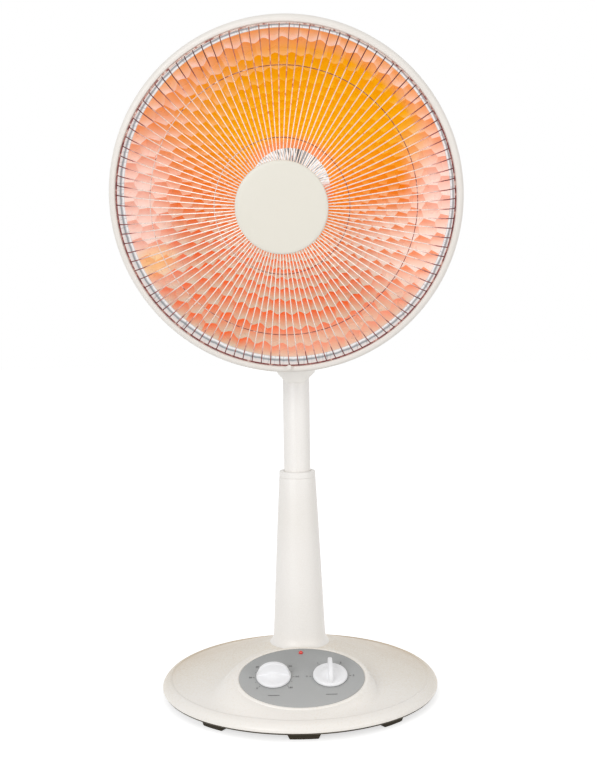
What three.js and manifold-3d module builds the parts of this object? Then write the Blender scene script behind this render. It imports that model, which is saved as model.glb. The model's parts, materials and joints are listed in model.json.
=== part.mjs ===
// Parabolic heater: a round base with two knobs, a telescopic column, and a dish on a swivel neck.
// Millimetres, +Z up. The origin is on the floor, on the axis of the column; the front is -Y.
import * as THREE from "three";
import { mergeVertices } from "three/addons/utils/BufferGeometryUtils.js";
import Module from "manifold-3d";

const wasm = await Module();
wasm.setup();

// ---------------------------------------------------------------- driving dimensions
// Clearances
const seatGap = 0.3; // between two pieces that rest on each other
const slideGap = 0.4; // round the height tube
const turnGap = 0.4; // round a shaft that turns

// Base
const baseRadius = 155;
const footHeight = 7;
const plateThickness = 1.6;
const plateInset = 3;
const rimHeight = 3.3;
const shoulderInset = 4;
const shoulderRise = 4;
const domeKneeInset = 15;
const domeKneeRise = 3.5;
const hubHeight = 50.2;
const hubRadius = 38;
const apronWidth = 8; // of the ring that falls from the hub to the dome
const apronDrop = 3.7;
const domeSwell = 2;
const coverWall = 2.5;
const footCount = 9;
const footLength = 30;
const footWidth = 13;
const footEdgeInset = 7;
const screwInset = 23;
const screwRadius = 2;
const screwHeadRadius = 4;
const screwHeadHeight = 2.2;
const screwReach = 7;
const bossRadius = 5;
const ballastInner = 46;
const ballastInset = 35;
const ballastHeight = 12;
const ballastSweep = 140; // degrees
const rearAngle = 90; // of straight backwards, seen from above

// Control panel
const panelAcross = 134;
const panelDeep = 96;
const panelThickness = 2.2;
const panelTilt = 20;
const panelForward = 84;
const panelHeight = 43;
const panelLedge = 4;
const plateauRim = 4.5;
const knobSpacing = 60;
const knobRadius = 18.5;
const knobSkirt = 5;
const knobTaper = 0.6;
const knobEdge = 1.2;
const knobBossRadius = 8;
const knobBossHeight = 9;
const knobGripHeight = 15;
const knobGripWidth = 5.4;
const knobLift = 1;
const shaftRadius = 2.8;
const shaftReach = 8;
const bushRadius = 5;
const unitWidth = 38;
const unitDepth = 34;
const unitHeight = 19;
const lensRadius = 2.5;
const lensRise = 1.4;
const lensOffset = 40;
const lampRadius = 2.2;
const lampLength = 12;

// Switch, terminals and cord gland inside the base
const terminalInset = 57;
const switchWidth = 22;
const switchLength = 26;
const switchHeight = 17;
const plungerRadius = 6;
const plungerReach = 9; // inside the switch
const plungerTravel = 4;
const terminalSize = [16, 34, 13];
const terminalSlotDepth = 4;
const terminalEnd = 3;
const glandInset = 18;
const glandRadius = 6.5;
const glandBore = 3.6;
const glandFlange = 2.6;
const glandCollar = 2.5;
const glandDrop = 3;

// Column and height tube
const columnFootRadius = 29;
const columnFootRise = 15.8;
const columnFlare = 6.5;
const columnTopRadius = 20.3;
const columnTop = 241;
const columnBelly = 1.1; // how far the middle of the taper swells
const columnFilletRise = 6.3;
const columnFilletOut = 2;
const columnWall = 2.6;
const spigotRadius = 24;
const spigotDepth = 14;
const boreEase = 0.4; // more room in the column's bore than its wall alone gives
const collarEdge = 1.5;
const nutWidth = 68;
const nutHeight = 8;
const nutSides = 8;
const lipHeight = 7;
const collarSleeve = 33;
const tubeRadius = 14;
const tubeWall = 1.3;
const tubeBottom = 135;
const tubeTop = 356;
const grooveWidth = 1.8;
const grooveDepth = 0.6;
const lockAzimuth = 65;
const lockShank = 2;
const lockHeadRadius = 6.5;
const lockHeadLength = 9;
const lockNeck = 2;

// Swivel neck
const neckSkirtDrop = 7; // of the skirt below the top of the tube
const neckSkirtWall = 1.6;
const chinHeight = 11;
const chinWidth = 21.2; // of the straight edge under the slanting corners
const neckThroat = 21.5;
const neckRadius = 30.5;
const neckHeight = 86;
const neckShares = [0.11, 0.35, 0.56]; // where the swell turns, from the chin up to the top
const neckSwell = 3;
const neckShoulder = 2;
const neckWall = 2.5;
const plugDepth = 20;
const flangeThickness = 2;
const washerThickness = 1.5;
const webThickness = 3;
const postRadius = 4;
const postReach = 13; // into the swing motor
const motorRadius = 18.5;
const motorHeight = 16;
const yokeCrown = 7;
const yokeEdge = 2;
const yokeSlope = 6;
const yokeSheet = 3;
const yokeSpigot = 6;
const panAngle = -4.8; // of the head about +Z, from straight ahead

// Tilt hinge
const pivotRise = 35; // of the hinge above the neck housing
const earRadius = 13;
const earThickness = 6;
const lugThickness = 22;
const tiltBoltRadius = 4;
const tiltHeadRadius = 8;
const tiltHeadLength = 6;
const tiltAngle = 12.6; // of the dish below level

// Head, on its own axis: z = 0 is the plane of the rim, +z points out of the dish
const axisRise = 95; // from the tilt hinge up to the axis of the dish
const rimReach = 113.5; // from the tilt hinge forward to the plane of the rim
const rimRadius = 173.7;
const rimDepth = 23;
const rimLip = 8.4;
const rimWall = 2;
const rimCorner = 4.5;
const rimFace = 1.5;
const reflectorInset = 5.3;
const reflectorDepth = 92;
const reflectorEdge = -14; // where the curved part begins
const reflectorSheet = 0.8;
const flangeWall = 2;
const poleRadius = 41;
const poleHole = 20;
const housingRadius = 58;
const housingDepth = 52;
const housingWall = 2.5;
const bellWaist = 14; // from the pole of the dish back to the widest part of the bell
const bellBelly = 30;
const bellTaper = 3;
const bellRound = 12;
const bellBack = 26;
const bellRise = 6;
const bellDome = 1.5;
const lugGrip = 16; // of the lug inside the bell
const ventCut = 8;
const ventCount = 8;
const ventWidth = 3.4;
const ventInner = 16;
const ventOuter = 36;
const bracketRadius = 48;
const bracketSheet = 1.4;
const socketRadius = 17;
const socketFlange = 26;
const socketFlangeHeight = 4;
const socketFront = -76;
const socketLength = 44;
const coneStem = 9;
const coneStemLength = 20;
const coneBaseRadius = 15;
const coneBaseHeight = 6;
const coneNeckRadius = 14;
const coneTopRadius = 23;
const coneNeck = -46;
const coneTop = 4;
const coilThickness = 2.1;
const coilMargin = 3;
const coneCrown = 3;
const cupInset = 3.5;
const cupRise = 5;
const cupSheet = 1;
const cutoutRadius = 8;
const cutoutHeight = 6;
const cutoutOffset = 36;

// Grille
const wireCount = 72;
const wireSize = 1.6;
const ringSize = 2.4;
const bendInset = 14.3;
const bendHeight = 21.5;
const midRingInset = 37.3;
const midRingHeight = 33;
const innerRingRadius = 64;
const innerRingHeight = 50;
const wireEndRadius = 36;
const wireEndHeight = 51;
const edgeRingHeight = 8.5;
const capRadius = 44;
const capRise = 4.5;
const capSkirt = 4;
const capEdge = 2;
const capFlat = 26;
const capBackRadius = 40;
const capScrewRadius = 2.5;
const capScrewHead = 3;
const clipWidth = 9;
const clipDepth = 6;
const clipSheet = 1.2;

// Facets of round pieces
const manySides = 36;
const someSides = 24;
const fewSides = 18;
const smallSides = 10;
const ovalSegments = 15;
const arcSegments = 8;
const curveSteps = 6;
const overrun = 1; // of a cutting tool past the face it goes through

// ---------------------------------------------------------------- derived levels
const plateBottom = footHeight + seatGap;
const plateTop = plateBottom + plateThickness;
const coverBottom = plateTop + seatGap;
const columnBottom = hubHeight + seatGap;
const collarTop = columnTop + seatGap + lipHeight;
const postFlangeTop = tubeTop + seatGap + flangeThickness;
const washerTop = postFlangeTop + seatGap + washerThickness;
const webBottom = washerTop + seatGap;
const webTop = webBottom + webThickness;
const neckBottom = tubeTop - neckSkirtDrop;
const neckTop = neckBottom + neckHeight;
const chinTop = neckBottom + chinHeight;
const pivotHeight = neckTop + pivotRise;
const rimFront = rimDepth / 2;
const rimInner = rimRadius - rimLip;
const reflectorRadius = rimInner - reflectorInset;
const bendRadius = rimInner - bendInset;
const midRingRadius = rimInner - midRingInset;
const ringOuter = rimInner * Math.cos(Math.PI / manySides) - seatGap;
const plateRadius = baseRadius - plateInset;
const screwCircle = baseRadius - screwInset;
const footPitch = 360 / footCount;
const poleHeight = reflectorZ(poleRadius);
const bracketFront = poleHeight - reflectorSheet - seatGap;
const bracketBack = bracketFront - bracketSheet;
const housingBack = poleHeight - housingDepth;

function reflectorZ(radius) {
  return reflectorEdge - reflectorDepth * (1 - (radius / reflectorRadius) ** 2);
}

// ---------------------------------------------------------------- finishes
const finishes = {
  whitePlastic: { color: 0xe4dfd4, roughness: 0.42, metalness: 0 },
  whitePaint: { color: 0xefeeea, roughness: 0.3, metalness: 0.1 },
  panelGrey: { color: 0xaeaeae, roughness: 0.5, metalness: 0 },
  knobWhite: { color: 0xf4f4f4, roughness: 0.35, metalness: 0 },
  rubber: { color: 0x35302a, roughness: 0.9, metalness: 0 },
  plateSteel: { color: 0x4a463f, roughness: 0.6, metalness: 0.7 },
  castIron: { color: 0x55524e, roughness: 0.8, metalness: 0.6 },
  zincSteel: { color: 0xb9bbbd, roughness: 0.35, metalness: 0.9 },
  blackPlastic: { color: 0x2b2b2c, roughness: 0.6, metalness: 0 },
  copperGlow: { color: 0xe08a4a, roughness: 0.22, metalness: 0.9 },
  polished: { color: 0xd8d8d8, roughness: 0.1, metalness: 1 },
  paleWire: { color: 0xe8dcd2, roughness: 0.3, metalness: 0.5 },
  ceramic: { color: 0xe9e2d2, roughness: 0.7, metalness: 0 },
  coilWire: { color: 0x8a5a3c, roughness: 0.5, metalness: 0.8 },
  redLens: { color: 0xd02018, roughness: 0.2, metalness: 0 },
  lampGlass: { color: 0xe8b090, roughness: 0.1, metalness: 0 },
};

// ---------------------------------------------------------------- shape helpers
function radians(degrees) {
  return THREE.MathUtils.degToRad(degrees);
}

// A closed manifold body from a geometry whose vertices are merged and whose faces point out.
function body(geometry) {
  const bare = geometry.clone();
  bare.deleteAttribute("normal");
  bare.deleteAttribute("uv");
  const merged = mergeVertices(bare, 1e-4);
  const points = merged.attributes.position.array;
  const corners = merged.index.array;
  const kept = [];
  let volume = 0;
  for (let i = 0; i < corners.length; i += 3) {
    const [a, b, c] = [corners[i], corners[i + 1], corners[i + 2]];
    if (a === b || b === c || c === a) continue;
    kept.push(a, b, c);
    const pa = new THREE.Vector3().fromArray(points, 3 * a);
    const pb = new THREE.Vector3().fromArray(points, 3 * b);
    const pc = new THREE.Vector3().fromArray(points, 3 * c);
    volume += pa.dot(pb.cross(pc));
  }
  if (volume < 0) kept.reverse();
  const vertProperties = Float32Array.from(points);
  const triVerts = Uint32Array.from(kept);
  return new wasm.Manifold(new wasm.Mesh({ numProp: 3, vertProperties, triVerts }));
}

function geometryOf(solid) {
  const mesh = solid.getMesh();
  const geometry = new THREE.BufferGeometry();
  geometry.setAttribute("position", new THREE.BufferAttribute(mesh.vertProperties, 3));
  geometry.setIndex(new THREE.BufferAttribute(mesh.triVerts, 1));
  return geometry;
}

function join(first, ...others) {
  return geometryOf(others.reduce((sum, next) => sum.add(body(next)), body(first)));
}

function cut(first, ...tools) {
  return geometryOf(tools.reduce((rest, tool) => rest.subtract(body(tool)), body(first)));
}

// A profile of [radius, z] points turned about Z. It closes on itself unless it ends on the axis.
function turned(profile, sides = someSides) {
  const points = profile.map(([radius, z]) => new THREE.Vector2(radius, z));
  const onAxis = profile[0][0] === 0 && profile.at(-1)[0] === 0;
  if (!onAxis) points.push(points[0].clone());
  return new THREE.LatheGeometry(points, sides).rotateX(Math.PI / 2);
}

function rod(radius, bottom, top, sides = fewSides) {
  return turned([[0, bottom], [radius, bottom], [radius, top], [0, top]], sides);
}

function washer(inner, outer, bottom, top, sides = fewSides) {
  return turned([[inner, bottom], [outer, bottom], [outer, top], [inner, top]], sides);
}

function block(width, depth, bottom, top) {
  const geometry = new THREE.BoxGeometry(width, depth, top - bottom);
  return geometry.translate(0, 0, (bottom + top) / 2);
}

function slab(shape, bottom, top, curveSegments = 12) {
  const options = { depth: top - bottom, bevelEnabled: false, curveSegments };
  return new THREE.ExtrudeGeometry(shape, options).translate(0, 0, bottom);
}

function ellipse(across, deep) {
  return new THREE.Shape().absellipse(0, 0, across / 2, deep / 2, 0, 2 * Math.PI);
}

// A part of a flat ring, from one angle to another in degrees.
function ringSector(inner, outer, from, to, bottom, top, segments) {
  const shape = new THREE.Shape();
  shape.absarc(0, 0, outer, radians(from), radians(to), false);
  shape.absarc(0, 0, inner, radians(to), radians(from), true);
  shape.closePath();
  return slab(shape, bottom, top, segments);
}

function polar(radius, degrees) {
  return [radius * Math.cos(radians(degrees)), radius * Math.sin(radians(degrees))];
}

// Points from one [radius, z] to another, on a curve that swells outwards in the middle.
function swollen([fromRadius, fromZ], [toRadius, toZ], swell, steps) {
  const points = [];
  for (let i = 0; i <= steps; i += 1) {
    const t = i / steps;
    const bulge = 4 * swell * t * (1 - t);
    const radius = THREE.MathUtils.lerp(fromRadius, toRadius, t) + bulge;
    points.push([radius, THREE.MathUtils.lerp(fromZ, toZ, t)]);
  }
  return points;
}

function add(parent, name, geometry, finish) {
  const mesh = new THREE.Mesh(geometryOf(body(geometry)), new THREE.MeshStandardMaterial(finish));
  mesh.name = name;
  parent.add(mesh);
  return mesh;
}

// ---------------------------------------------------------------- base
// The outside of the base cover, from its bottom edge up to the flat hub under the column.
function coverProfile(inset) {
  const knee = baseRadius - domeKneeInset;
  const kneeHeight = coverBottom + rimHeight + shoulderRise + domeKneeRise;
  const apron = [hubRadius + apronWidth, hubHeight - apronDrop - inset];
  return [
    [baseRadius - inset, coverBottom],
    [baseRadius - inset, coverBottom + rimHeight],
    [baseRadius - shoulderInset - inset, coverBottom + rimHeight + shoulderRise - inset / 2],
    ...swollen([knee - inset / 2, kneeHeight - inset], apron, domeSwell, 3),
    [hubRadius, hubHeight - inset],
  ];
}

function onPanel(geometry) {
  return geometry.rotateX(radians(panelTilt)).translate(0, -panelForward, panelHeight);
}

function plateauSolid(margin, bottom, top) {
  const outline = ellipse(panelAcross + 2 * margin, panelDeep + 2 * margin);
  return onPanel(slab(outline, bottom, top, ovalSegments));
}

function buildBaseCover() {
  const belowPanel = -panelThickness - seatGap;
  const outside = turned([[0, coverBottom], ...coverProfile(0), [0, hubHeight]], manySides);
  const insideProfile = [[0, coverBottom - overrun], ...coverProfile(coverWall), [0, hubHeight - coverWall]];
  const inside = turned(insideProfile, manySides);
  const skirt = plateauSolid(plateauRim, -panelDeep / 2, 0);
  const hollow = plateauSolid(-panelLedge, -panelDeep, overrun);
  const floorCut = block(3 * baseRadius, 3 * baseRadius, -baseRadius, coverBottom);
  const shell = cut(join(outside, cut(skirt, floorCut)), inside, hollow);
  const opened = cut(shell, plateauSolid(seatGap, belowPanel, overrun), columnRoom());
  const bosses = screwAngles().map((angle) => coverBoss(angle));
  const bored = cut(opened, rod(spigotRadius + seatGap, 0, hubHeight + overrun, someSides));
  return join(bored, ...bosses);
}

// Keeps the plateau clear of the foot of the column.
function columnRoom() {
  return rod(columnFootRadius + columnFlare + seatGap, hubHeight, pivotHeight, someSides);
}

// The screws lie midway between two feet, and none at the rear, where the cord gland is.
function screwAngles() {
  return [1, 3, 5, 7].map((step) => -rearAngle + (step + 0.5) * footPitch);
}

function coverHeight(radius) {
  const points = coverProfile(coverWall);
  for (let i = 1; i < points.length; i += 1) {
    const [outer, outerZ] = points[i - 1];
    const [inner, innerZ] = points[i];
    if (radius <= outer && radius >= inner && outer > inner) {
      return THREE.MathUtils.mapLinear(radius, outer, inner, outerZ, innerZ);
    }
  }
  return hubHeight - coverWall;
}

function coverBoss(angle) {
  const [x, y] = polar(screwCircle, angle);
  const top = coverHeight(screwCircle + bossRadius) + coverWall / 2;
  const pilot = screwRadius + seatGap;
  const outer = rod(bossRadius, coverBottom, top, smallSides);
  const drilled = cut(outer, rod(pilot, 0, coverBottom + screwReach + seatGap, smallSides));
  return drilled.translate(x, y, 0);
}

function buildBasePlate() {
  const disc = rod(plateRadius, plateBottom, plateTop, manySides);
  const holes = [];
  for (const angle of screwAngles()) {
    const [x, y] = polar(screwCircle, angle);
    holes.push(plateHole(screwRadius + seatGap, x, y));
  }
  holes.push(plateHole(plungerRadius + turnGap, 0, 0));
  holes.push(plateHole(glandRadius + seatGap, 0, baseRadius - glandInset));
  return cut(disc, ...holes);
}

function plateHole(radius, x, y) {
  return rod(radius, plateBottom - overrun, plateTop + overrun, smallSides).translate(x, y, 0);
}

function footAngles() {
  return Array.from({ length: footCount }, (_, i) => -rearAngle + i * footPitch);
}

function footCircle() {
  return baseRadius - footEdgeInset - footWidth / 2;
}

function buildFoot(angle) {
  const inner = footCircle() - footWidth / 2;
  const outer = footCircle() + footWidth / 2;
  const half = THREE.MathUtils.radToDeg(footLength / 2 / footCircle());
  return ringSector(inner, outer, angle - half, angle + half, 0, footHeight, 3);
}

function buildBaseScrew(angle) {
  const [x, y] = polar(screwCircle, angle);
  const headTop = plateBottom - seatGap;
  const head = rod(screwHeadRadius, headTop - screwHeadHeight, headTop, smallSides);
  const shank = rod(screwRadius, headTop - screwHeadHeight, coverBottom + screwReach, smallSides);
  return join(head, shank).translate(x, y, 0);
}

function buildBallast() {
  const bottom = plateTop + seatGap;
  const from = rearAngle - ballastSweep / 2;
  const top = bottom + ballastHeight;
  const outer = baseRadius - ballastInset;
  return ringSector(ballastInner, outer, from, from + ballastSweep, bottom, top, arcSegments);
}

function buildTipSwitch() {
  const bottom = plateTop + seatGap;
  const bore = rod(plungerRadius + turnGap, 0, plateTop + plungerReach + plungerTravel, smallSides);
  return cut(block(switchWidth, switchLength, bottom, bottom + switchHeight), bore);
}

function buildTipPlunger() {
  const top = plateTop + plungerReach;
  const tip = plungerRadius - 1;
  return turned([[0, 0], [tip, 0], [plungerRadius, 1], [plungerRadius, top], [0, top]], smallSides);
}

function buildTerminalBlock() {
  const [width, depth, height] = terminalSize;
  const bottom = plateTop + seatGap;
  const top = bottom + height;
  const slot = block(width / 2, depth - 2 * terminalEnd, top - terminalSlotDepth, top + overrun);
  return cut(block(width, depth, bottom, top), slot).translate(baseRadius - terminalInset, 0, 0);
}

function buildCordGland() {
  const flangeBottom = plateTop + seatGap;
  const profile = [
    [glandBore, plateBottom - glandDrop],
    [glandRadius, plateBottom - glandDrop],
    [glandRadius, flangeBottom],
    [glandRadius + glandCollar, flangeBottom],
    [glandRadius + glandCollar, flangeBottom + glandFlange],
    [glandBore, flangeBottom + glandFlange],
  ];
  return turned(profile, smallSides).translate(0, baseRadius - glandInset, 0);
}

function buildBase(parent) {
  add(parent, "base_cover", buildBaseCover(), finishes.whitePlastic);
  add(parent, "base_plate", buildBasePlate(), finishes.plateSteel);
  add(parent, "ballast_weight", buildBallast(), finishes.castIron);
  footAngles().forEach((angle, i) => add(parent, `foot_${i + 1}`, buildFoot(angle), finishes.rubber));
  screwAngles().forEach((angle, i) => {
    add(parent, `base_screw_${i + 1}`, buildBaseScrew(angle), finishes.zincSteel);
  });
  add(parent, "tip_switch", buildTipSwitch(), finishes.blackPlastic);
  add(parent, "tip_plunger", buildTipPlunger(), finishes.blackPlastic);
  add(parent, "terminal_block", buildTerminalBlock(), finishes.ceramic);
  add(parent, "cord_gland", buildCordGland(), finishes.blackPlastic);
}

// ---------------------------------------------------------------- control panel
// Everything here is on the panel's own face: z = 0 is its top, +y runs up the slope.
function buildPanelPlate() {
  const plate = slab(ellipse(panelAcross, panelDeep), -panelThickness, 0, ovalSegments);
  const holes = [-1, 1].map((side) => {
    const hole = rod(bushRadius + seatGap, -panelThickness - overrun, overrun, smallSides);
    return hole.translate(side * knobSpacing / 2, 0, 0);
  });
  const lensHole = rod(lensRadius + seatGap, -panelThickness - overrun, overrun, smallSides);
  return cut(plate, ...holes, lensHole.translate(0, lensOffset, 0));
}

// A timer or switch body hung under the panel, with a bush through it that the knob's shaft turns in.
function buildUnit() {
  const top = -panelThickness - seatGap;
  const housing = block(unitWidth, unitDepth, top - unitHeight, top);
  const bush = rod(bushRadius, top - overrun, 0, smallSides);
  const bore = rod(shaftRadius + turnGap, -shaftReach - seatGap, overrun, smallSides);
  return cut(join(housing, bush), bore);
}

function buildKnob() {
  const top = knobLift + knobSkirt;
  const skirt = turned([
    [0, knobLift],
    [knobRadius, knobLift],
    [knobRadius - knobTaper, top - knobEdge],
    [knobRadius - knobTaper - knobEdge, top],
    [knobBossRadius, top],
    [knobGripWidth / 2, top + knobBossHeight],
    [0, top + knobBossHeight],
  ], fewSides);
  const outline = new THREE.Shape();
  outline.absellipse(0, 0, knobRadius - knobEdge, knobGripHeight, 0, Math.PI);
  outline.closePath();
  const grip = slab(outline, -knobGripWidth / 2, knobGripWidth / 2, arcSegments).rotateX(Math.PI / 2);
  const shaft = rod(shaftRadius, -shaftReach, top, smallSides);
  return join(skirt, grip.translate(0, 0, knobLift + knobEdge), shaft);
}

function buildPanel(parent) {
  const panel = new THREE.Group();
  panel.position.set(0, -panelForward, panelHeight);
  panel.rotation.x = radians(panelTilt);
  parent.add(panel);
  add(panel, "control_panel", buildPanelPlate(), finishes.panelGrey);
  add(panel, "timer_unit", buildUnit(), finishes.blackPlastic).position.x = -knobSpacing / 2;
  add(panel, "power_switch", buildUnit(), finishes.blackPlastic).position.x = knobSpacing / 2;
  add(panel, "timer_knob", buildKnob(), finishes.knobWhite).position.x = -knobSpacing / 2;
  const power = add(panel, "power_knob", buildKnob(), finishes.knobWhite);
  power.position.x = knobSpacing / 2;
  power.rotation.z = Math.PI / 2;
  const lensBottom = -panelThickness;
  const lens = turned([
    [0, lensBottom],
    [lensRadius, lensBottom],
    [lensRadius, lensRise / 2],
    [lensRadius / 2, lensRise],
    [0, lensRise],
  ], smallSides);
  add(panel, "indicator_lens", lens, finishes.redLens).position.y = lensOffset;
  const lampTop = lensBottom - seatGap;
  const lamp = rod(lampRadius, lampTop - lampLength, lampTop, smallSides);
  add(panel, "indicator_lamp", lamp, finishes.lampGlass).position.y = lensOffset;
}

// ---------------------------------------------------------------- column
function buildColumn() {
  const footTop = columnBottom + columnFootRise;
  const boreTop = columnTopRadius - columnWall - boreEase;
  const outside = [
    [columnFootRadius + columnFlare, columnBottom],
    [columnFootRadius + columnFilletOut, columnBottom + columnFilletRise],
    ...swollen([columnFootRadius, footTop], [columnTopRadius, columnTop], columnBelly, 6),
  ];
  const inside = [
    [boreTop, columnTop],
    [boreTop, columnTop - collarSleeve - columnWall],
    [columnFootRadius - columnWall, footTop],
    [spigotRadius - columnWall, columnBottom],
    [spigotRadius - columnWall, columnBottom - spigotDepth],
    [spigotRadius, columnBottom - spigotDepth],
    [spigotRadius, columnBottom],
  ];
  return turned([...outside, ...inside], someSides);
}

function buildColumnNut() {
  const top = hubHeight - coverWall - seatGap;
  const hole = rod(spigotRadius + seatGap, top - nutHeight - overrun, top + overrun, someSides);
  return cut(rod(nutWidth / 2, top - nutHeight, top, nutSides), hole);
}

function buildCollar() {
  const bore = tubeRadius + slideGap;
  const sleeve = columnTopRadius - columnWall - boreEase - seatGap;
  const lipBottom = columnTop + seatGap;
  const profile = [
    [bore, columnTop - collarSleeve],
    [sleeve, columnTop - collarSleeve],
    [sleeve, lipBottom],
    [columnTopRadius, lipBottom],
    [columnTopRadius, collarTop - collarEdge],
    [columnTopRadius - collarEdge, collarTop],
    [bore, collarTop],
  ];
  const hole = rod(lockShank + seatGap, 0, columnTopRadius + overrun, smallSides);
  return cut(turned(profile, someSides), toLock(hole));
}

// Lays a piece that stands on Z along the lock screw, which points out of the collar.
function toLock(geometry) {
  const level = columnTop + seatGap + lipHeight / 2;
  return geometry.rotateY(Math.PI / 2).rotateZ(radians(lockAzimuth)).translate(0, 0, level);
}

function buildLockKnob() {
  const shankStart = tubeRadius + seatGap;
  const headStart = columnTopRadius + seatGap;
  const headEnd = headStart + lockHeadLength;
  const shank = rod(lockShank, shankStart, headStart + lockNeck, smallSides);
  const head = turned([
    [0, headStart],
    [lockHeadRadius - lockNeck, headStart],
    [lockHeadRadius, headStart + lockNeck],
    [lockHeadRadius, headEnd - lockNeck / 2],
    [lockHeadRadius - lockNeck / 2, headEnd],
    [0, headEnd],
  ], smallSides);
  return toLock(join(shank, head));
}

function buildTube() {
  const pipe = washer(tubeRadius - tubeWall, tubeRadius, tubeBottom, tubeTop, someSides);
  const groove = block(grooveWidth, 2 * grooveDepth, tubeBottom - overrun, tubeTop + overrun);
  return cut(pipe, groove.translate(0, -tubeRadius, 0));
}

function buildSwivelPost() {
  const plug = rod(tubeRadius - tubeWall - seatGap, tubeTop - plugDepth, postFlangeTop);
  const flange = rod(tubeRadius - seatGap, tubeTop + seatGap, postFlangeTop);
  const shaft = rod(postRadius, tubeTop, webTop + postReach, smallSides);
  return join(plug, flange, shaft);
}

function buildMast(parent) {
  add(parent, "column", buildColumn(), finishes.whitePaint);
  add(parent, "column_nut", buildColumnNut(), finishes.blackPlastic);
  add(parent, "column_collar", buildCollar(), finishes.whitePlastic);
  add(parent, "lock_knob", buildLockKnob(), finishes.whitePlastic);
  add(parent, "height_tube", buildTube(), finishes.whitePaint);
  add(parent, "swivel_post", buildSwivelPost(), finishes.zincSteel);
  const washerBottom = postFlangeTop + seatGap;
  const disc = washer(postRadius + turnGap, tubeRadius - seatGap, washerBottom, washerTop);
  add(parent, "swivel_washer", disc, finishes.blackPlastic);
}

// ---------------------------------------------------------------- neck
function buildNeckHousing() {
  const skirt = tubeRadius + slideGap;
  const [swellLevel, shoulderLevel, topLevel] = neckShares.map((share) => {
    return THREE.MathUtils.lerp(chinTop, neckTop, share);
  });
  const outside = [
    [skirt, neckBottom],
    [skirt + neckSkirtWall, neckBottom],
    [neckThroat, chinTop],
    [neckThroat + neckSwell, swellLevel],
    [neckRadius - neckShoulder, shoulderLevel],
    [neckRadius, topLevel],
    [neckRadius, neckTop],
  ];
  const inside = [
    [neckRadius - neckWall, neckTop],
    [neckRadius - neckWall, topLevel],
    [neckRadius - neckShoulder - neckWall, shoulderLevel],
    [motorRadius + overrun, webTop],
    [postRadius + turnGap, webTop],
    [postRadius + turnGap, webBottom],
    [skirt, webBottom],
  ];
  return cut(turned([...outside, ...inside], someSides), chinCorner(-1), chinCorner(1));
}

// What is taken off one lower corner of the housing, seen from the front.
function chinCorner(side) {
  const outline = new THREE.Shape();
  const reach = neckThroat + overrun;
  outline.moveTo(side * chinWidth / 2, neckBottom);
  outline.lineTo(side * reach, neckBottom + chinHeight);
  outline.lineTo(side * reach, neckBottom - overrun);
  outline.lineTo(side * chinWidth / 2, neckBottom - overrun);
  outline.closePath();
  return slab(outline, -reach, reach).rotateX(Math.PI / 2);
}

function buildSwingMotor() {
  const bottom = webTop + seatGap;
  const top = bottom + motorHeight;
  const profile = [[0, bottom], [motorRadius, bottom], [motorRadius, top], [0, top]];
  const bore = rod(postRadius + turnGap, bottom - overrun, webTop + postReach + seatGap, smallSides);
  return cut(turned(profile, fewSides), bore);
}

// An ear or lug about the tilt hinge, reaching down or up to a given height from the hinge.
function hingeTab(reach, thickness) {
  const outline = new THREE.Shape();
  outline.absarc(0, 0, earRadius, 0, Math.PI, false);
  outline.lineTo(-earRadius, -reach);
  outline.lineTo(earRadius, -reach);
  outline.closePath();
  const tab = slab(outline, -thickness / 2, thickness / 2, arcSegments);
  return tab.rotateX(Math.PI / 2).rotateZ(Math.PI / 2);
}

function earOffset() {
  return lugThickness / 2 + washerThickness + 2 * seatGap + earThickness / 2;
}

function acrossHinge(geometry) {
  return geometry.rotateY(Math.PI / 2).translate(0, 0, pivotHeight);
}

function buildNeckYoke() {
  const bottom = neckTop + seatGap;
  const crown = bottom + yokeCrown;
  const spigot = neckRadius - neckWall - seatGap;
  const cap = turned([
    [spigot - neckWall, bottom - yokeSpigot],
    [spigot, bottom - yokeSpigot],
    [spigot, bottom],
    [neckRadius, bottom],
    [neckRadius, bottom + yokeEdge],
    [neckRadius - yokeSlope, crown],
    [0, crown],
    [0, crown - yokeSheet],
    [spigot - neckWall, crown - yokeSheet - overrun],
  ], someSides);
  const ears = [-1, 1].map((side) => {
    const ear = hingeTab(pivotHeight - crown + yokeSheet / 2, earThickness);
    return ear.translate(side * earOffset(), 0, pivotHeight);
  });
  const bore = acrossHinge(rod(tiltBoltRadius + turnGap, -neckRadius, neckRadius, smallSides));
  return cut(join(cap, ...ears), bore);
}

function buildTiltBolt() {
  const outer = earOffset() + earThickness / 2 + seatGap;
  const shank = rod(tiltBoltRadius, -outer - tiltHeadLength / 2, outer + tiltHeadLength, smallSides);
  const head = rod(tiltHeadRadius, -outer - tiltHeadLength, -outer, smallSides);
  return acrossHinge(join(shank, head));
}

function buildTiltNut() {
  const start = earOffset() + earThickness / 2 + seatGap;
  const ring = washer(tiltBoltRadius + seatGap, tiltHeadRadius, start, start + tiltHeadLength, smallSides);
  return acrossHinge(ring);
}

function buildTiltWasher(side) {
  const inner = lugThickness / 2 + seatGap;
  const ring = washer(tiltBoltRadius + turnGap, earRadius - 2, inner, inner + washerThickness, fewSides);
  if (side < 0) ring.rotateY(Math.PI);
  return acrossHinge(ring);
}

function buildNeck(parent) {
  add(parent, "neck_housing", buildNeckHousing(), finishes.whitePlastic);
  add(parent, "swing_motor", buildSwingMotor(), finishes.zincSteel);
  add(parent, "neck_yoke", buildNeckYoke(), finishes.whitePlastic);
  add(parent, "tilt_bolt", buildTiltBolt(), finishes.zincSteel);
  add(parent, "tilt_nut", buildTiltNut(), finishes.zincSteel);
  add(parent, "tilt_washer_left", buildTiltWasher(-1), finishes.blackPlastic);
  add(parent, "tilt_washer_right", buildTiltWasher(1), finishes.blackPlastic);
}

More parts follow.
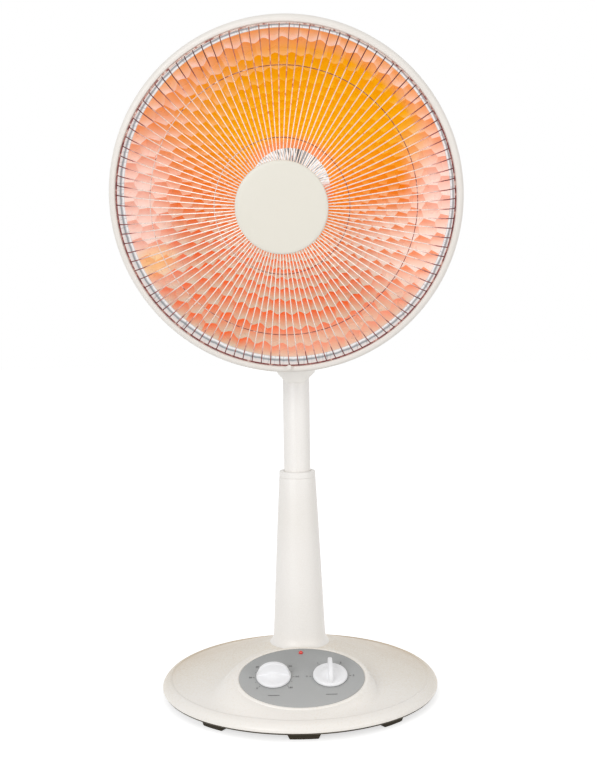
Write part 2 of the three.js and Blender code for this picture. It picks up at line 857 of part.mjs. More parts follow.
// ---------------------------------------------------------------- head
function reflectorCurve(from, to, steps, offset) {
  const points = [];
  for (let i = 0; i <= steps; i += 1) {
    const radius = THREE.MathUtils.lerp(from, to, i / steps);
    points.push([radius, reflectorZ(radius) + offset]);
  }
  return points;
}

function buildReflector() {
  const flangeBottom = -rimFront + rimWall + seatGap;
  const flangeOuter = rimOutline(rimWall).at(-1)[0] - seatGap;
  const wallRadius = rimInner - flangeWall;
  const front = [
    [wallRadius, flangeBottom + reflectorSheet],
    ...reflectorCurve(reflectorRadius, poleRadius, curveSteps, 0),
    [poleHole, poleHeight],
  ];
  const back = [
    [poleHole, poleHeight - reflectorSheet],
    ...reflectorCurve(poleRadius, reflectorRadius + reflectorSheet, curveSteps, -reflectorSheet),
    [wallRadius + reflectorSheet, flangeBottom],
    [flangeOuter, flangeBottom],
    [flangeOuter, flangeBottom + reflectorSheet],
  ];
  return turned([...front, ...back], manySides);
}

function rimOutline(inset) {
  const outer = rimRadius - inset;
  const front = rimFront - inset;
  const corner = rimCorner - inset / 2;
  return [
    [outer - corner, front],
    [outer, front - corner],
    [outer, -front + corner],
    [outer - corner, -front],
  ];
}

function buildRimRing() {
  const outside = [[rimInner, rimFront - rimFace], ...rimOutline(0), [rimInner, -rimFront]];
  const inside = [...rimOutline(rimWall).reverse()];
  const profile = [
    ...outside,
    [rimInner, -rimFront + rimWall],
    ...inside,
    [rimInner, rimFront - rimFace - rimWall],
  ];
  return turned(profile, manySides);
}

// The lines of the grille from its edge ring inwards: [radius, height] of each ring or bend.
function grilleStations() {
  const stations = [];
  const ring = (outer, z) => stations.push([outer, z, true], [outer - ringSize, z, false]);
  ring(ringOuter, edgeRingHeight);
  stations.push([bendRadius, bendHeight, false]);
  ring(midRingRadius + ringSize / 2, midRingHeight);
  ring(innerRingRadius + ringSize / 2, innerRingHeight);
  stations.push([wireEndRadius, wireEndHeight, false]);
  return stations;
}

// One closed net: round each ring station every wire and every gap has a cell, and between
// stations only the wires have one.
function buildGrille() {
  const stations = grilleStations();
  const points = [];
  const faces = [];
  const half = wireSize / 2;
  const corner = (station, wire, side, level) => {
    return ((station * wireCount + wire) * 2 + side) * 2 + level;
  };
  for (const [radius, z] of stations) {
    for (let wire = 0; wire < wireCount; wire += 1) {
      const angle = (2 * Math.PI * wire) / wireCount;
      const spread = Math.asin(half / radius);
      for (const turn of [-spread, spread]) {
        const x = radius * Math.cos(angle + turn);
        const y = radius * Math.sin(angle + turn);
        points.push(x, y, z - half, x, y, z + half);
      }
    }
  }
  const quad = (a, b, c, d) => faces.push(a, b, c, a, c, d);
  for (let s = 0; s + 1 < stations.length; s += 1) {
    const banded = stations[s][2];
    for (let wire = 0; wire < wireCount; wire += 1) {
      const next = (wire + 1) % wireCount;
      const o = (side, level) => corner(s, wire, side, level);
      const i = (side, level) => corner(s + 1, wire, side, level);
      quad(o(0, 1), o(1, 1), i(1, 1), i(0, 1));
      quad(o(0, 0), i(0, 0), i(1, 0), o(1, 0));
      if (banded) {
        const on = (level) => corner(s, next, 0, level);
        const inn = (level) => corner(s + 1, next, 0, level);
        quad(o(1, 1), on(1), inn(1), i(1, 1));
        quad(o(1, 0), i(1, 0), inn(0), on(0));
        quad(o(1, 0), on(0), on(1), o(1, 1));
        quad(i(1, 0), i(1, 1), inn(1), inn(0));
      } else {
        quad(o(1, 0), i(1, 0), i(1, 1), o(1, 1));
        quad(o(0, 0), o(0, 1), i(0, 1), i(0, 0));
      }
    }
  }
  const last = stations.length - 1;
  for (let wire = 0; wire < wireCount; wire += 1) {
    quad(corner(0, wire, 0, 0), corner(0, wire, 1, 0), corner(0, wire, 1, 1), corner(0, wire, 0, 1));
    const end = (side, level) => corner(last, wire, side, level);
    quad(end(0, 0), end(0, 1), end(1, 1), end(1, 0));
  }
  const geometry = new THREE.BufferGeometry();
  geometry.setAttribute("position", new THREE.Float32BufferAttribute(points, 3));
  geometry.setIndex(faces);
  return geometry;
}

function capSeat() {
  return wireEndHeight + wireSize / 2 + seatGap;
}

function buildCap() {
  const bottom = capSeat();
  const top = bottom + capRise;
  return turned([
    [0, bottom],
    [capRadius, bottom],
    [capRadius, top - capEdge],
    [capRadius - capEdge, top - capEdge / 3],
    [capFlat, top],
    [0, top],
  ], manySides);
}

function buildCapBack() {
  const top = wireEndHeight - wireSize / 2 - seatGap;
  return washer(capScrewRadius + seatGap, capBackRadius, top - capSkirt, top, someSides);
}

function buildCapScrew() {
  const discBottom = wireEndHeight - wireSize / 2 - seatGap - capSkirt;
  const headTop = discBottom - seatGap;
  const shank = rod(capScrewRadius, headTop - capScrewHead, capSeat() - seatGap, smallSides);
  const head = rod(capScrewRadius + capScrewHead, headTop - capScrewHead, headTop, smallSides);
  return join(shank, head);
}

function buildRimClip() {
  const middle = rimRadius - rimCorner - clipDepth / 2;
  const bottom = rimFront + seatGap;
  const hole = rod(clipSheet + seatGap, bottom - overrun, bottom + clipSheet + overrun, smallSides);
  return cut(block(clipWidth, clipDepth, bottom, bottom + clipSheet), hole).translate(0, -middle, 0);
}

function buildRimScrew() {
  const middle = rimRadius - rimCorner - clipDepth / 2;
  const bottom = rimFront + seatGap;
  const headBottom = bottom + clipSheet + seatGap;
  const headTop = headBottom + clipSheet;
  const shank = rod(clipSheet, bottom, headTop, smallSides);
  const head = rod(2 * clipSheet, headBottom, headTop, smallSides);
  return join(shank, head).translate(0, -middle, 0);
}

// The polished pan on the bottom of the dish, round the foot of the element.
function buildHubCup() {
  const bottom = poleHeight + seatGap;
  const hole = socketRadius + seatGap;
  const inner = poleRadius - cupInset;
  return turned([
    [hole, bottom],
    [inner, bottom],
    [poleRadius, bottom + cupRise],
    [poleRadius - cupSheet, bottom + cupRise],
    [inner - cupSheet, bottom + cupSheet],
    [hole, bottom + cupSheet],
  ], manySides);
}

function buildBracket() {
  return washer(socketRadius + seatGap, bracketRadius, bracketBack, bracketFront, someSides);
}

function buildSocket() {
  const flangeFront = bracketBack - seatGap;
  const profile = [
    [0, socketFront - socketLength],
    [socketRadius, socketFront - socketLength],
    [socketRadius, flangeFront - socketFlangeHeight],
    [socketFlange, flangeFront - socketFlangeHeight],
    [socketFlange, flangeFront],
    [socketRadius, flangeFront],
    [socketRadius, socketFront],
    [coneStem + seatGap, socketFront],
    [coneStem + seatGap, socketFront - coneStemLength - seatGap],
    [0, socketFront - coneStemLength - seatGap],
  ];
  return turned(profile, fewSides);
}

function coneRadius(z) {
  return THREE.MathUtils.mapLinear(z, coneNeck, coneTop, coneNeckRadius, coneTopRadius);
}

function buildCone() {
  const shoulder = socketFront + seatGap;
  return turned([
    [0, socketFront - coneStemLength],
    [coneStem, socketFront - coneStemLength],
    [coneStem, shoulder],
    [coneBaseRadius, shoulder],
    [coneBaseRadius, shoulder + coneBaseHeight],
    [coneNeckRadius, coneNeck],
    [coneTopRadius, coneTop],
    [coneTopRadius - coneCrown, coneTop + coneCrown],
    [0, coneTop + coneCrown],
  ], fewSides);
}

function buildCoil() {
  const bottom = coneNeck + coilMargin;
  const top = coneTop - coilMargin;
  const inner = (z) => coneRadius(z) + seatGap;
  const outer = (z) => inner(z) + coilThickness;
  return turned([
    [inner(bottom), bottom],
    [outer(bottom), bottom],
    [outer(top), top],
    [inner(top), top],
  ], fewSides);
}

// The rear housing: a round bell behind the dish, vented at its back, with the lug of the tilt hinge.
function buildRearHousing() {
  const edge = housingRadius - housingWall;
  const frontOuter = reflectorZ(housingRadius) - reflectorSheet - seatGap;
  const frontInner = reflectorZ(edge) - reflectorSheet - seatGap;
  const bell = (inset) => [
    [housingRadius - inset, poleHeight - bellWaist],
    [housingRadius - bellTaper - inset, poleHeight - bellBelly],
    [housingRadius - bellRound - inset, housingBack + bellRise + inset / 2],
    [housingRadius - bellBack, housingBack + bellDome + inset],
    [0, housingBack + inset],
  ];
  const front = [[0, frontInner], [edge, frontInner], [housingRadius, frontOuter]];
  const outside = turned([...front, ...bell(0)], manySides);
  const hollow = turned([[0, 0], [edge, 0], ...bell(housingWall)], manySides);
  const shell = cut(join(outside, lugTurned()), hollow);
  const vents = Array.from({ length: ventCount }, (_, i) => ventSlot((360 / ventCount) * i));
  const bore = rod(tiltBoltRadius + turnGap, -lugThickness, lugThickness, smallSides);
  bore.rotateY(Math.PI / 2).translate(0, -axisRise, -rimReach);
  return cut(shell, ...vents, bore);
}

// The lug hangs from the bell down to the hinge, round end down.
function lugTurned() {
  const outline = new THREE.Shape();
  const reach = axisRise - housingRadius + lugGrip;
  outline.absarc(0, 0, earRadius, Math.PI, 2 * Math.PI, false);
  outline.lineTo(earRadius, reach);
  outline.lineTo(-earRadius, reach);
  outline.closePath();
  const tab = slab(outline, -lugThickness / 2, lugThickness / 2, arcSegments);
  return tab.rotateY(Math.PI / 2).translate(0, -axisRise, -rimReach);
}

function ventSlot(angle) {
  const slot = block(ventOuter - ventInner, ventWidth, housingBack - ventCut, housingBack + ventCut);
  return slot.translate((ventInner + ventOuter) / 2, 0, 0).rotateZ(radians(angle));
}

function buildCutout() {
  const front = bracketBack - seatGap;
  return rod(cutoutRadius, front - cutoutHeight, front, smallSides).translate(0, cutoutOffset, 0);
}

function buildHead(parent) {
  add(parent, "rear_housing", buildRearHousing(), finishes.whitePlastic);
  add(parent, "element_bracket", buildBracket(), finishes.zincSteel);
  add(parent, "thermal_cutout", buildCutout(), finishes.blackPlastic);
  add(parent, "ceramic_socket", buildSocket(), finishes.ceramic);
  add(parent, "ceramic_cone", buildCone(), finishes.ceramic);
  add(parent, "heating_coil", buildCoil(), finishes.coilWire);
  add(parent, "hub_cup", buildHubCup(), finishes.polished);
  add(parent, "reflector", buildReflector(), finishes.copperGlow);
  add(parent, "rim_ring", buildRimRing(), finishes.whitePlastic);
  add(parent, "grille", buildGrille(), finishes.paleWire);
  add(parent, "centre_cap", buildCap(), finishes.whitePlastic);
  add(parent, "cap_back", buildCapBack(), finishes.zincSteel);
  add(parent, "cap_screw", buildCapScrew(), finishes.zincSteel);
  add(parent, "rim_clip", buildRimClip(), finishes.whitePlastic);
  add(parent, "rim_screw", buildRimScrew(), finishes.zincSteel);
}

// ---------------------------------------------------------------- assembly
const heater = new THREE.Group();
buildBase(heater);
buildPanel(heater);
buildMast(heater);

const neck = new THREE.Group();
neck.rotation.z = radians(panAngle);
heater.add(neck);
buildNeck(neck);

// The head's frame: its z is the axis of the dish, and the tilt hinge lies below and behind the rim.
const hinge = new THREE.Group();
hinge.position.z = pivotHeight;
hinge.rotation.x = radians(90 + tiltAngle);
neck.add(hinge);
const head = new THREE.Group();
head.position.set(0, axisRise, rimReach);
hinge.add(head);
buildHead(head);

export default heater;
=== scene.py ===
# Parabolic heater: the detailed pieces, finishes, light and camera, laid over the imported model.
import json
import math

import bpy
from mathutils import Matrix, Vector

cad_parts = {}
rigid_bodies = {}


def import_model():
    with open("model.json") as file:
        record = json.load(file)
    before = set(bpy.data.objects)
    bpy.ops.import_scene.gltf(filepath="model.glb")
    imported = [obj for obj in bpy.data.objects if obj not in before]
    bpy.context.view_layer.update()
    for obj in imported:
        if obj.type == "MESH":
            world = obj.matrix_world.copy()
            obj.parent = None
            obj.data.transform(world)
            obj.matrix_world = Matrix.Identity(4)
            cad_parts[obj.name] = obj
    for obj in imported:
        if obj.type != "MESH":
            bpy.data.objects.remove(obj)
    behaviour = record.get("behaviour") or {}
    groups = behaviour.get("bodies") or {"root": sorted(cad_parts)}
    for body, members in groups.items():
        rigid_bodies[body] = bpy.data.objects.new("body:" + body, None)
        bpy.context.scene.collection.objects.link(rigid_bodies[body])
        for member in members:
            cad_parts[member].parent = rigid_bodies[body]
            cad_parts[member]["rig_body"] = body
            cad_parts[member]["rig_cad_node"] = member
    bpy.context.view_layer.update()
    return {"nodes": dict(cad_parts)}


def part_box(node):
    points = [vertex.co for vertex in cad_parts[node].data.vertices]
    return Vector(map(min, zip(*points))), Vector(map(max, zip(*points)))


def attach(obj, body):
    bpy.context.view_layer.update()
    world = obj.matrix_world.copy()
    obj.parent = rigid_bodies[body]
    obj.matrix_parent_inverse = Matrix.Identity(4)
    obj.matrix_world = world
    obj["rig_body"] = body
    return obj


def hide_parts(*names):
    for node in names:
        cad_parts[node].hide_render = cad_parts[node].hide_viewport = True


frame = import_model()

MM = 0.001
TURN = 2 * math.pi


# ------------------------------------------------------------------ places
def turn_about(axis, degrees):
    return Matrix.Rotation(math.radians(degrees), 4, axis)


def shifted(x, y, z):
    """A place moved by millimetres."""
    return Matrix.Translation((x * MM, y * MM, z * MM))


NECK_TURN = -4.8
PIVOT_HEIGHT = 470
DISH_TILT = 12.6
AXIS_RISE = 95
RIM_REACH = 113.5
PANEL_BACK = -84
PANEL_HEIGHT = 43
PANEL_SLOPE = 20
LOCK_HEIGHT = 244.8
LOCK_TURN = 65

NECK_PLACE = turn_about("Z", NECK_TURN)
HINGE_PLACE = NECK_PLACE @ shifted(0, 0, PIVOT_HEIGHT)
HEAD_PLACE = HINGE_PLACE @ turn_about("X", 90 + DISH_TILT) @ shifted(0, AXIS_RISE, RIM_REACH)
PANEL_PLACE = shifted(0, PANEL_BACK, PANEL_HEIGHT) @ turn_about("X", PANEL_SLOPE)
LOCK_PLACE = shifted(0, 0, LOCK_HEIGHT) @ turn_about("Z", LOCK_TURN) @ turn_about("Y", 90)


# ------------------------------------------------------------------ camera
CAMERA_PLACE = (-0.02696, -1.21235, 0.4320)
CAMERA_LENS = 50.5


def add_camera():
    yaw, pitch, roll = (math.radians(angle) for angle in (1.4, 4.2, -0.8))
    heading = Vector((math.sin(yaw), math.cos(yaw), 0))
    ahead = heading * math.cos(pitch) - Vector((0, 0, math.sin(pitch)))
    level = Vector((math.cos(yaw), -math.sin(yaw), 0))
    rise = heading * math.sin(pitch) + Vector((0, 0, math.cos(pitch)))
    right = level * math.cos(roll) + rise * math.sin(roll)
    up = rise * math.cos(roll) - level * math.sin(roll)
    bpy.ops.object.camera_add()
    camera = bpy.context.object
    camera.name = "photo_camera"
    place = Matrix((right, up, -ahead)).transposed().to_4x4()
    place.translation = Vector(CAMERA_PLACE)
    camera.matrix_world = place
    camera.data.lens = CAMERA_LENS
    camera.data.sensor_width = 36
    camera.data.clip_start = 0.05
    camera.data.clip_end = 60
    bpy.context.scene.camera = camera


bpy.context.scene.view_settings.view_transform = "Standard"
add_camera()


# ------------------------------------------------------------------ selection and modes
def deselect_all():
    bpy.ops.object.select_all(action="DESELECT")


def pick(piece):
    deselect_all()
    piece.select_set(True)
    bpy.context.view_layer.objects.active = piece


def edit(piece):
    pick(piece)
    bpy.ops.object.mode_set(mode="EDIT")
    bpy.ops.mesh.select_all(action="SELECT")


def leave_edit():
    bpy.ops.object.mode_set(mode="OBJECT")


def named(name):
    """Names the piece in hand and its mesh."""
    piece = bpy.context.object
    piece.name = name
    piece.data.name = name
    return piece


def put(piece, place):
    """Takes a piece to its place, and leaves the place in its mesh."""
    piece.matrix_world = place
    pick(piece)
    bpy.ops.object.transform_apply(location=True, rotation=True, scale=True)


def apply_modifier(piece, kind, **settings):
    pick(piece)
    modifier = piece.modifiers.new(kind.lower(), kind)
    for key, value in settings.items():
        setattr(modifier, key, value)
    bpy.ops.object.modifier_apply(modifier=modifier.name)


def join(name, first, *others):
    pick(first)
    for other in others:
        other.select_set(True)
    bpy.ops.object.join()
    return named(name)


# ------------------------------------------------------------------ shapes
def start_point(name, point):
    """A mesh of one selected point, left in edit mode."""
    deselect_all()
    bpy.ops.mesh.primitive_plane_add(size=0.01)
    piece = named(name)
    bpy.ops.object.mode_set(mode="EDIT")
    bpy.ops.mesh.select_all(action="SELECT")
    bpy.ops.mesh.merge(type="CENTER")
    bpy.ops.transform.translate(value=tuple(c * MM for c in point))
    return piece


def draw_on(points):
    """Draws edges from the selected point through the rest of the points, in millimetres."""
    for start, end in zip(points, points[1:]):
        step = tuple((b - a) * MM for a, b in zip(start, end))
        bpy.ops.mesh.extrude_region_move(TRANSFORM_OT_translate={"value": step})


def close_up():
    bpy.ops.mesh.select_all(action="SELECT")
    bpy.ops.mesh.remove_doubles(threshold=1e-6)
    bpy.ops.mesh.normals_make_consistent(inside=False)


def eased(corners, closed=False, steps=5):
    """Rounds the corners of a line of (radius, height, ease) points; a point with no ease stays sharp."""
    line = []
    last = len(corners) - 1
    for i, corner in enumerate(corners):
        here = Vector(corner[:2])
        ease = corner[2] if len(corner) > 2 else 0
        if not ease or (not closed and i in (0, last)):
            line.append(tuple(here))
            continue
        back = Vector(corners[i - 1][:2]) - here
        ahead = Vector(corners[(i + 1) % len(corners)][:2]) - here
        start = here + back.normalized() * min(ease, back.length / 2)
        end = here + ahead.normalized() * min(ease, ahead.length / 2)
        for step in range(steps + 1):
            t = step / steps
            line.append(tuple(start * (1 - t) ** 2 + here * (2 * t * (1 - t)) + end * t ** 2))
    return line


def turned(name, line, steps, closed=False):
    """A line of (radius, height) points turned about Z."""
    run = [(r, 0, z) for r, z in line]
    if closed:
        run.append(run[0])
    piece = start_point(name, run[0])
    draw_on(run)
    bpy.ops.mesh.select_all(action="SELECT")
    bpy.ops.mesh.spin(steps=steps, angle=TURN, center=(0, 0, 0), axis=(0, 0, 1))
    close_up()
    leave_edit()
    return piece


def round_shell(name, corners, steps):
    """A closed line of corners, eased and turned about Z."""
    return turned(name, eased(corners, closed=True), steps, closed=True)


def round_solid(name, corners, steps):
    """A line of corners that starts and ends on the axis, eased and turned about Z."""
    return turned(name, eased(corners), steps)


def cut_out(name, outline, thickness):
    """A flat outline of (x, z) points, filled and drawn out along Y to a thickness."""
    run = [(x, -thickness / 2, z) for x, z in outline]
    piece = start_point(name, run[0])
    draw_on(run + run[:1])
    bpy.ops.mesh.select_all(action="SELECT")
    bpy.ops.mesh.remove_doubles(threshold=1e-6)
    bpy.ops.mesh.edge_face_add()
    bpy.ops.mesh.extrude_region_move(TRANSFORM_OT_translate={"value": (0, thickness * MM, 0)})
    close_up()
    leave_edit()
    return piece


def bevelled(piece, width, segments=3, angle=30):
    apply_modifier(
        piece,
        "BEVEL",
        width=width * MM,
        segments=segments,
        limit_method="ANGLE",
        angle_limit=math.radians(angle),
    )
    return piece


def wire(name, points, radius, sides_level):
    """A round wire through points; its sides grow with the level."""
    piece = start_point(name, points[0])
    draw_on(points)
    leave_edit()
    pick(piece)
    bpy.ops.object.convert(target="CURVE")
    curve = bpy.context.object.data
    curve.bevel_depth = radius * MM
    curve.bevel_resolution = sides_level
    curve.use_fill_caps = True
    bpy.ops.object.convert(target="MESH")
    return named(name)


def hoop(name, radius, height, thickness):
    """A round wire ring about Z, drawn from a ten-sided section."""
    corners = []
    for i in range(10):
        angle = TURN * i / 10
        corners.append((radius + thickness * math.cos(angle), height + thickness * math.sin(angle)))
    return turned(name, corners, 180, closed=True)


def repeat_round(piece, count):
    """Copies all of a piece round Z, inside its own mesh."""
    edit(piece)
    sweep = TURN * (count - 1) / count
    bpy.ops.mesh.spin(steps=count - 1, dupli=True, angle=sweep, center=(0, 0, 0), axis=(0, 0, 1))
    leave_edit()
    return piece


def rounded_copy(node, name, width):
    """A copy of a solid of the frame, with its edges rounded."""
    deselect_all()
    source = frame["nodes"][node]
    piece = source.copy()
    piece.data = source.data.copy()
    bpy.context.scene.collection.objects.link(piece)
    piece.parent = None
    piece.matrix_world = Matrix.Identity(4)
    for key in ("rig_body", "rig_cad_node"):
        if key in piece:
            del piece[key]
    piece.name = name
    piece.data.name = name
    edit(piece)
    bpy.ops.mesh.remove_doubles(threshold=1e-5)
    bpy.ops.mesh.dissolve_limited(angle_limit=math.radians(1))
    leave_edit()
    return bevelled(piece, width)


# ------------------------------------------------------------------ finishes
def srgb(red, green, blue):
    """The linear colour of an sRGB one."""
    linear = []
    for value in (red, green, blue):
        c = value / 255
        linear.append(c / 12.92 if c <= 0.04045 else ((c + 0.055) / 1.055) ** 2.4)
    return (*linear, 1)


def new_finish(name):
    material = bpy.data.materials.new(name)
    material.use_nodes = True
    return material, material.node_tree, material.node_tree.nodes["Principled BSDF"]


def node(tree, kind, inputs=None, **settings):
    made = tree.nodes.new(kind)
    for key, value in settings.items():
        setattr(made, key, value)
    for key, value in (inputs or {}).items():
        if isinstance(value, bpy.types.NodeSocket):
            tree.links.new(value, made.inputs[key])
        else:
            made.inputs[key].default_value = value
    return made


def surface_place(tree, place=None):
    """Object coordinates, or coordinates on the axes of one part of the heater."""
    found = node(tree, "ShaderNodeTexCoord").outputs["Object"]
    if place is None:
        return found
    settings = {
        "Vector": found,
        "Location": tuple(place.to_translation()),
        "Rotation": tuple(place.to_euler()),
    }
    return node(tree, "ShaderNodeMapping", settings, vector_type="TEXTURE").outputs["Vector"]


def noise(tree, place, scale, detail, stretch=None):
    if stretch:
        place = vector_node(tree, "MULTIPLY", place, stretch)[0]
    made = node(tree, "ShaderNodeTexNoise", {"Vector": place, "Scale": scale, "Detail": detail})
    return made.outputs["Fac"]


def math_node(tree, operation, first, second=0.0, clamp=False):
    made = node(tree, "ShaderNodeMath", {0: first, 1: second}, operation=operation)
    made.use_clamp = clamp
    return made.outputs[0]


def plus(tree, first, second, clamp=False):
    return math_node(tree, "ADD", first, second, clamp)


def minus(tree, first, second):
    return math_node(tree, "SUBTRACT", first, second)


def times(tree, first, second, clamp=False):
    return math_node(tree, "MULTIPLY", first, second, clamp)


def swing(tree, value, amount):
    """A value round 0.5, made to swing round zero by an amount."""
    return times(tree, minus(tree, value, 0.5), amount)


def vector_node(tree, operation, *values):
    return node(tree, "ShaderNodeVectorMath", dict(enumerate(values)), operation=operation).outputs


def along(tree, place, axis):
    """One coordinate of a place: 0 across, 1 up or back, 2 out."""
    return node(tree, "ShaderNodeSeparateXYZ", {0: place}).outputs[axis]


def ramp(tree, value, *stops):
    """A colour ramp from (position, colour) stops."""
    made = node(tree, "ShaderNodeValToRGB", {"Fac": value})
    elements = made.color_ramp.elements
    while len(elements) < len(stops):
        elements.new(0.5)
    for element, (position, colour) in zip(elements, stops):
        element.position = position
        element.color = colour
    return made.outputs["Color"]


def tones_of(tree, value, *stops):
    """A colour ramp from (position, red, green, blue) stops in sRGB."""
    return ramp(tree, value, *[(stop[0], srgb(*stop[1:])) for stop in stops])


def remap(tree, value, low, high, new_low=0.0, new_high=1.0):
    settings = {"Value": value, 1: low, 2: high, 3: new_low, 4: new_high}
    return node(tree, "ShaderNodeMapRange", settings).outputs[0]


def blend_colours(tree, factor, first, second):
    made = node(tree, "ShaderNodeMix", data_type="RGBA")
    for index, value in ((0, factor), (6, first), (7, second)):
        if isinstance(value, bpy.types.NodeSocket):
            tree.links.new(value, made.inputs[index])
        else:
            made.inputs[index].default_value = value
    return made.outputs[2]


def paint(tree, shader, colour):
    tree.links.new(colour, shader.inputs["Base Color"])


def glow_with(tree, shader, colour, strength, matt):
    """Bright metal painted with light: mostly a painted glow of its own colour, standing in for reflected
    light, over a darkened colour.
    """
    paint(tree, shader, blend_colours(tree, matt, colour, (0, 0, 0, 1)))
    tree.links.new(colour, shader.inputs["Emission Color"])
    shader.inputs["Emission Strength"].default_value = strength


def roughen(tree, shader, value, smooth, rough):
    tree.links.new(remap(tree, value, 0.3, 0.7, smooth, rough), shader.inputs["Roughness"])


def add_bump(tree, shader, height, depth, strength):
    made = node(tree, "ShaderNodeBump", {"Height": height, "Distance": depth, "Strength": strength})
    tree.links.new(made.outputs["Normal"], shader.inputs["Normal"])


def moulded(name, pale, deep, roughness, grain=1400, depth=0.00004):
    """Moulded plastic: a slight drift of tone, a fine grain and a satin gloss."""
    material, tree, shader = new_finish(name)
    place = surface_place(tree)
    paint(tree, shader, ramp(tree, noise(tree, place, 9, 3), (0.3, deep), (0.7, pale)))
    roughen(tree, shader, noise(tree, place, 60, 2), roughness - 0.04, roughness + 0.05)
    add_bump(tree, shader, noise(tree, place, grain, 2), depth, 0.35)
    return material


def bare_metal(name, pale, deep, roughness, metallic=1.0, stretch=(1, 1, 14)):
    """Metal with fine lines of the tool that made it."""
    material, tree, shader = new_finish(name)
    shader.inputs["Metallic"].default_value = metallic
    lines = noise(tree, surface_place(tree), 160, 3, stretch)
    paint(tree, shader, ramp(tree, lines, (0.25, deep), (0.75, pale)))
    gloss = remap(tree, lines, 0.2, 0.8, roughness - 0.06, roughness + 0.1)
    tree.links.new(gloss, shader.inputs["Roughness"])
    add_bump(tree, shader, lines, 0.00005, 0.3)
    return material


def base_plastic():
    """The glossier plastic of the base, with painted shade: darker and warmer towards the back."""
    material, tree, shader = new_finish("base_plastic")
    place = surface_place(tree)
    drift = swing(tree, noise(tree, place, 9, 3), 0.3)
    fleck = swing(tree, noise(tree, place, 520, 3), 1.0)
    # Painted shade: the base grows darker and warmer towards the back.
    painted_shade_to_back = remap(tree, along(tree, place, 1), -0.09, 0.06)
    shade = plus(tree, painted_shade_to_back, plus(tree, drift, fleck))
    tones = tones_of(tree, shade, (0.0, 247, 243, 237), (0.5, 238, 230, 217), (1.0, 221, 204, 180))
    paint(tree, shader, tones)
    roughen(tree, shader, noise(tree, place, 60, 2), 0.3, 0.38)
    add_bump(tree, shader, noise(tree, place, 1400, 2), 0.00003, 0.3)
    return material


def column_paint():
    """Smooth paint with a slight orange peel and a thin clear coat."""
    material, tree, shader = new_finish("column_paint")
    place = surface_place(tree)
    fleck = swing(tree, noise(tree, place, 900, 2), 0.45)
    mottled = plus(tree, noise(tree, place, 7, 2), fleck)
    paint(tree, shader, tones_of(tree, mottled, (0.25, 238, 234, 228), (0.75, 249, 246, 243)))
    shader.inputs["Coat Weight"].default_value = 0.15
    shader.inputs["Coat Roughness"].default_value = 0.25
    peel = noise(tree, place, 420, 2)
    roughen(tree, shader, peel, 0.36, 0.44)
    add_bump(tree, shader, peel, 0.00006, 0.3)
    return material


def panel_plastic():
    """Grey satin plastic with a fine speckled grain, and painted shade: paler towards the front."""
    material, tree, shader = new_finish("panel_plastic")
    place = surface_place(tree)
    speckle = noise(tree, place, 900, 3)
    mixed = plus(tree, speckle, noise(tree, place, 20, 2))
    slope = along(tree, surface_place(tree, PANEL_PLACE), 1)
    shade = times(tree, minus(tree, mixed, 1.0), 0.5)
    # Painted shade: the panel is paler at its front edge and darker at its back.
    lit = plus(tree, shade, remap(tree, slope, 0.048, -0.048))
    tones = tones_of(tree, lit, (0.0, 160, 161, 160), (0.5, 176, 177, 176), (1.0, 183, 184, 183))
    paint(tree, shader, tones)
    roughen(tree, shader, speckle, 0.5, 0.62)
    add_bump(tree, shader, speckle, 0.00006, 0.4)
    return material


def rubber():
    material, tree, shader = new_finish("foot_rubber")
    grain = noise(tree, surface_place(tree), 700, 4)
    paint(tree, shader, tones_of(tree, grain, (0.3, 38, 32, 20), (0.75, 62, 54, 38)))
    roughen(tree, shader, grain, 0.8, 0.95)
    add_bump(tree, shader, grain, 0.00012, 0.5)
    return material


def dark_plate():
    material, tree, shader = new_finish("base_plate_enamel")
    place = surface_place(tree)
    grain = noise(tree, place, 300, 3)
    wear = noise(tree, place, 25, 3)
    paint(tree, shader, tones_of(tree, wear, (0.35, 58, 50, 38), (0.7, 76, 67, 52)))
    shader.inputs["Metallic"].default_value = 0.3
    roughen(tree, shader, grain, 0.45, 0.65)
    add_bump(tree, shader, grain, 0.00008, 0.4)
    return material


def round_axis(tree, place):
    """The distance of a place from the axis of the dish, in metres, and its direction from it."""
    flat = vector_node(tree, "MULTIPLY", place, (1, 1, 0))[0]
    return vector_node(tree, "LENGTH", flat)["Value"], vector_node(tree, "NORMALIZE", flat)[0]


def oval_distance(tree, place, centre, half_size):
    """The distance from the centre of an oval on the dish; its edge is at 1."""
    offsets = []
    for axis in (0, 1):
        offset = minus(tree, along(tree, place, axis), centre[axis])
        offsets.append(math_node(tree, "DIVIDE", offset, half_size[axis]))
    spot = node(tree, "ShaderNodeCombineXYZ", {0: offsets[0], 1: offsets[1]}).outputs[0]
    return vector_node(tree, "LENGTH", spot)["Value"]


def facet_share(tree, direction, uneven):
    """How far down its own facet a place is: 0 at the upper end and 1 at the lower one."""
    sheet = node(tree, "ShaderNodeUVMap", uv_map="facets").outputs[0]
    side = minus(tree, along(tree, sheet, 0), 0.5)
    outward = minus(tree, along(tree, sheet, 1), 0.5)
    rise = plus(
        tree,
        times(tree, side, along(tree, direction, 0)),
        times(tree, outward, along(tree, direction, 1)),
    )
    return plus(tree, plus(tree, rise, swing(tree, uneven, 0.14)), 0.5, clamp=True)


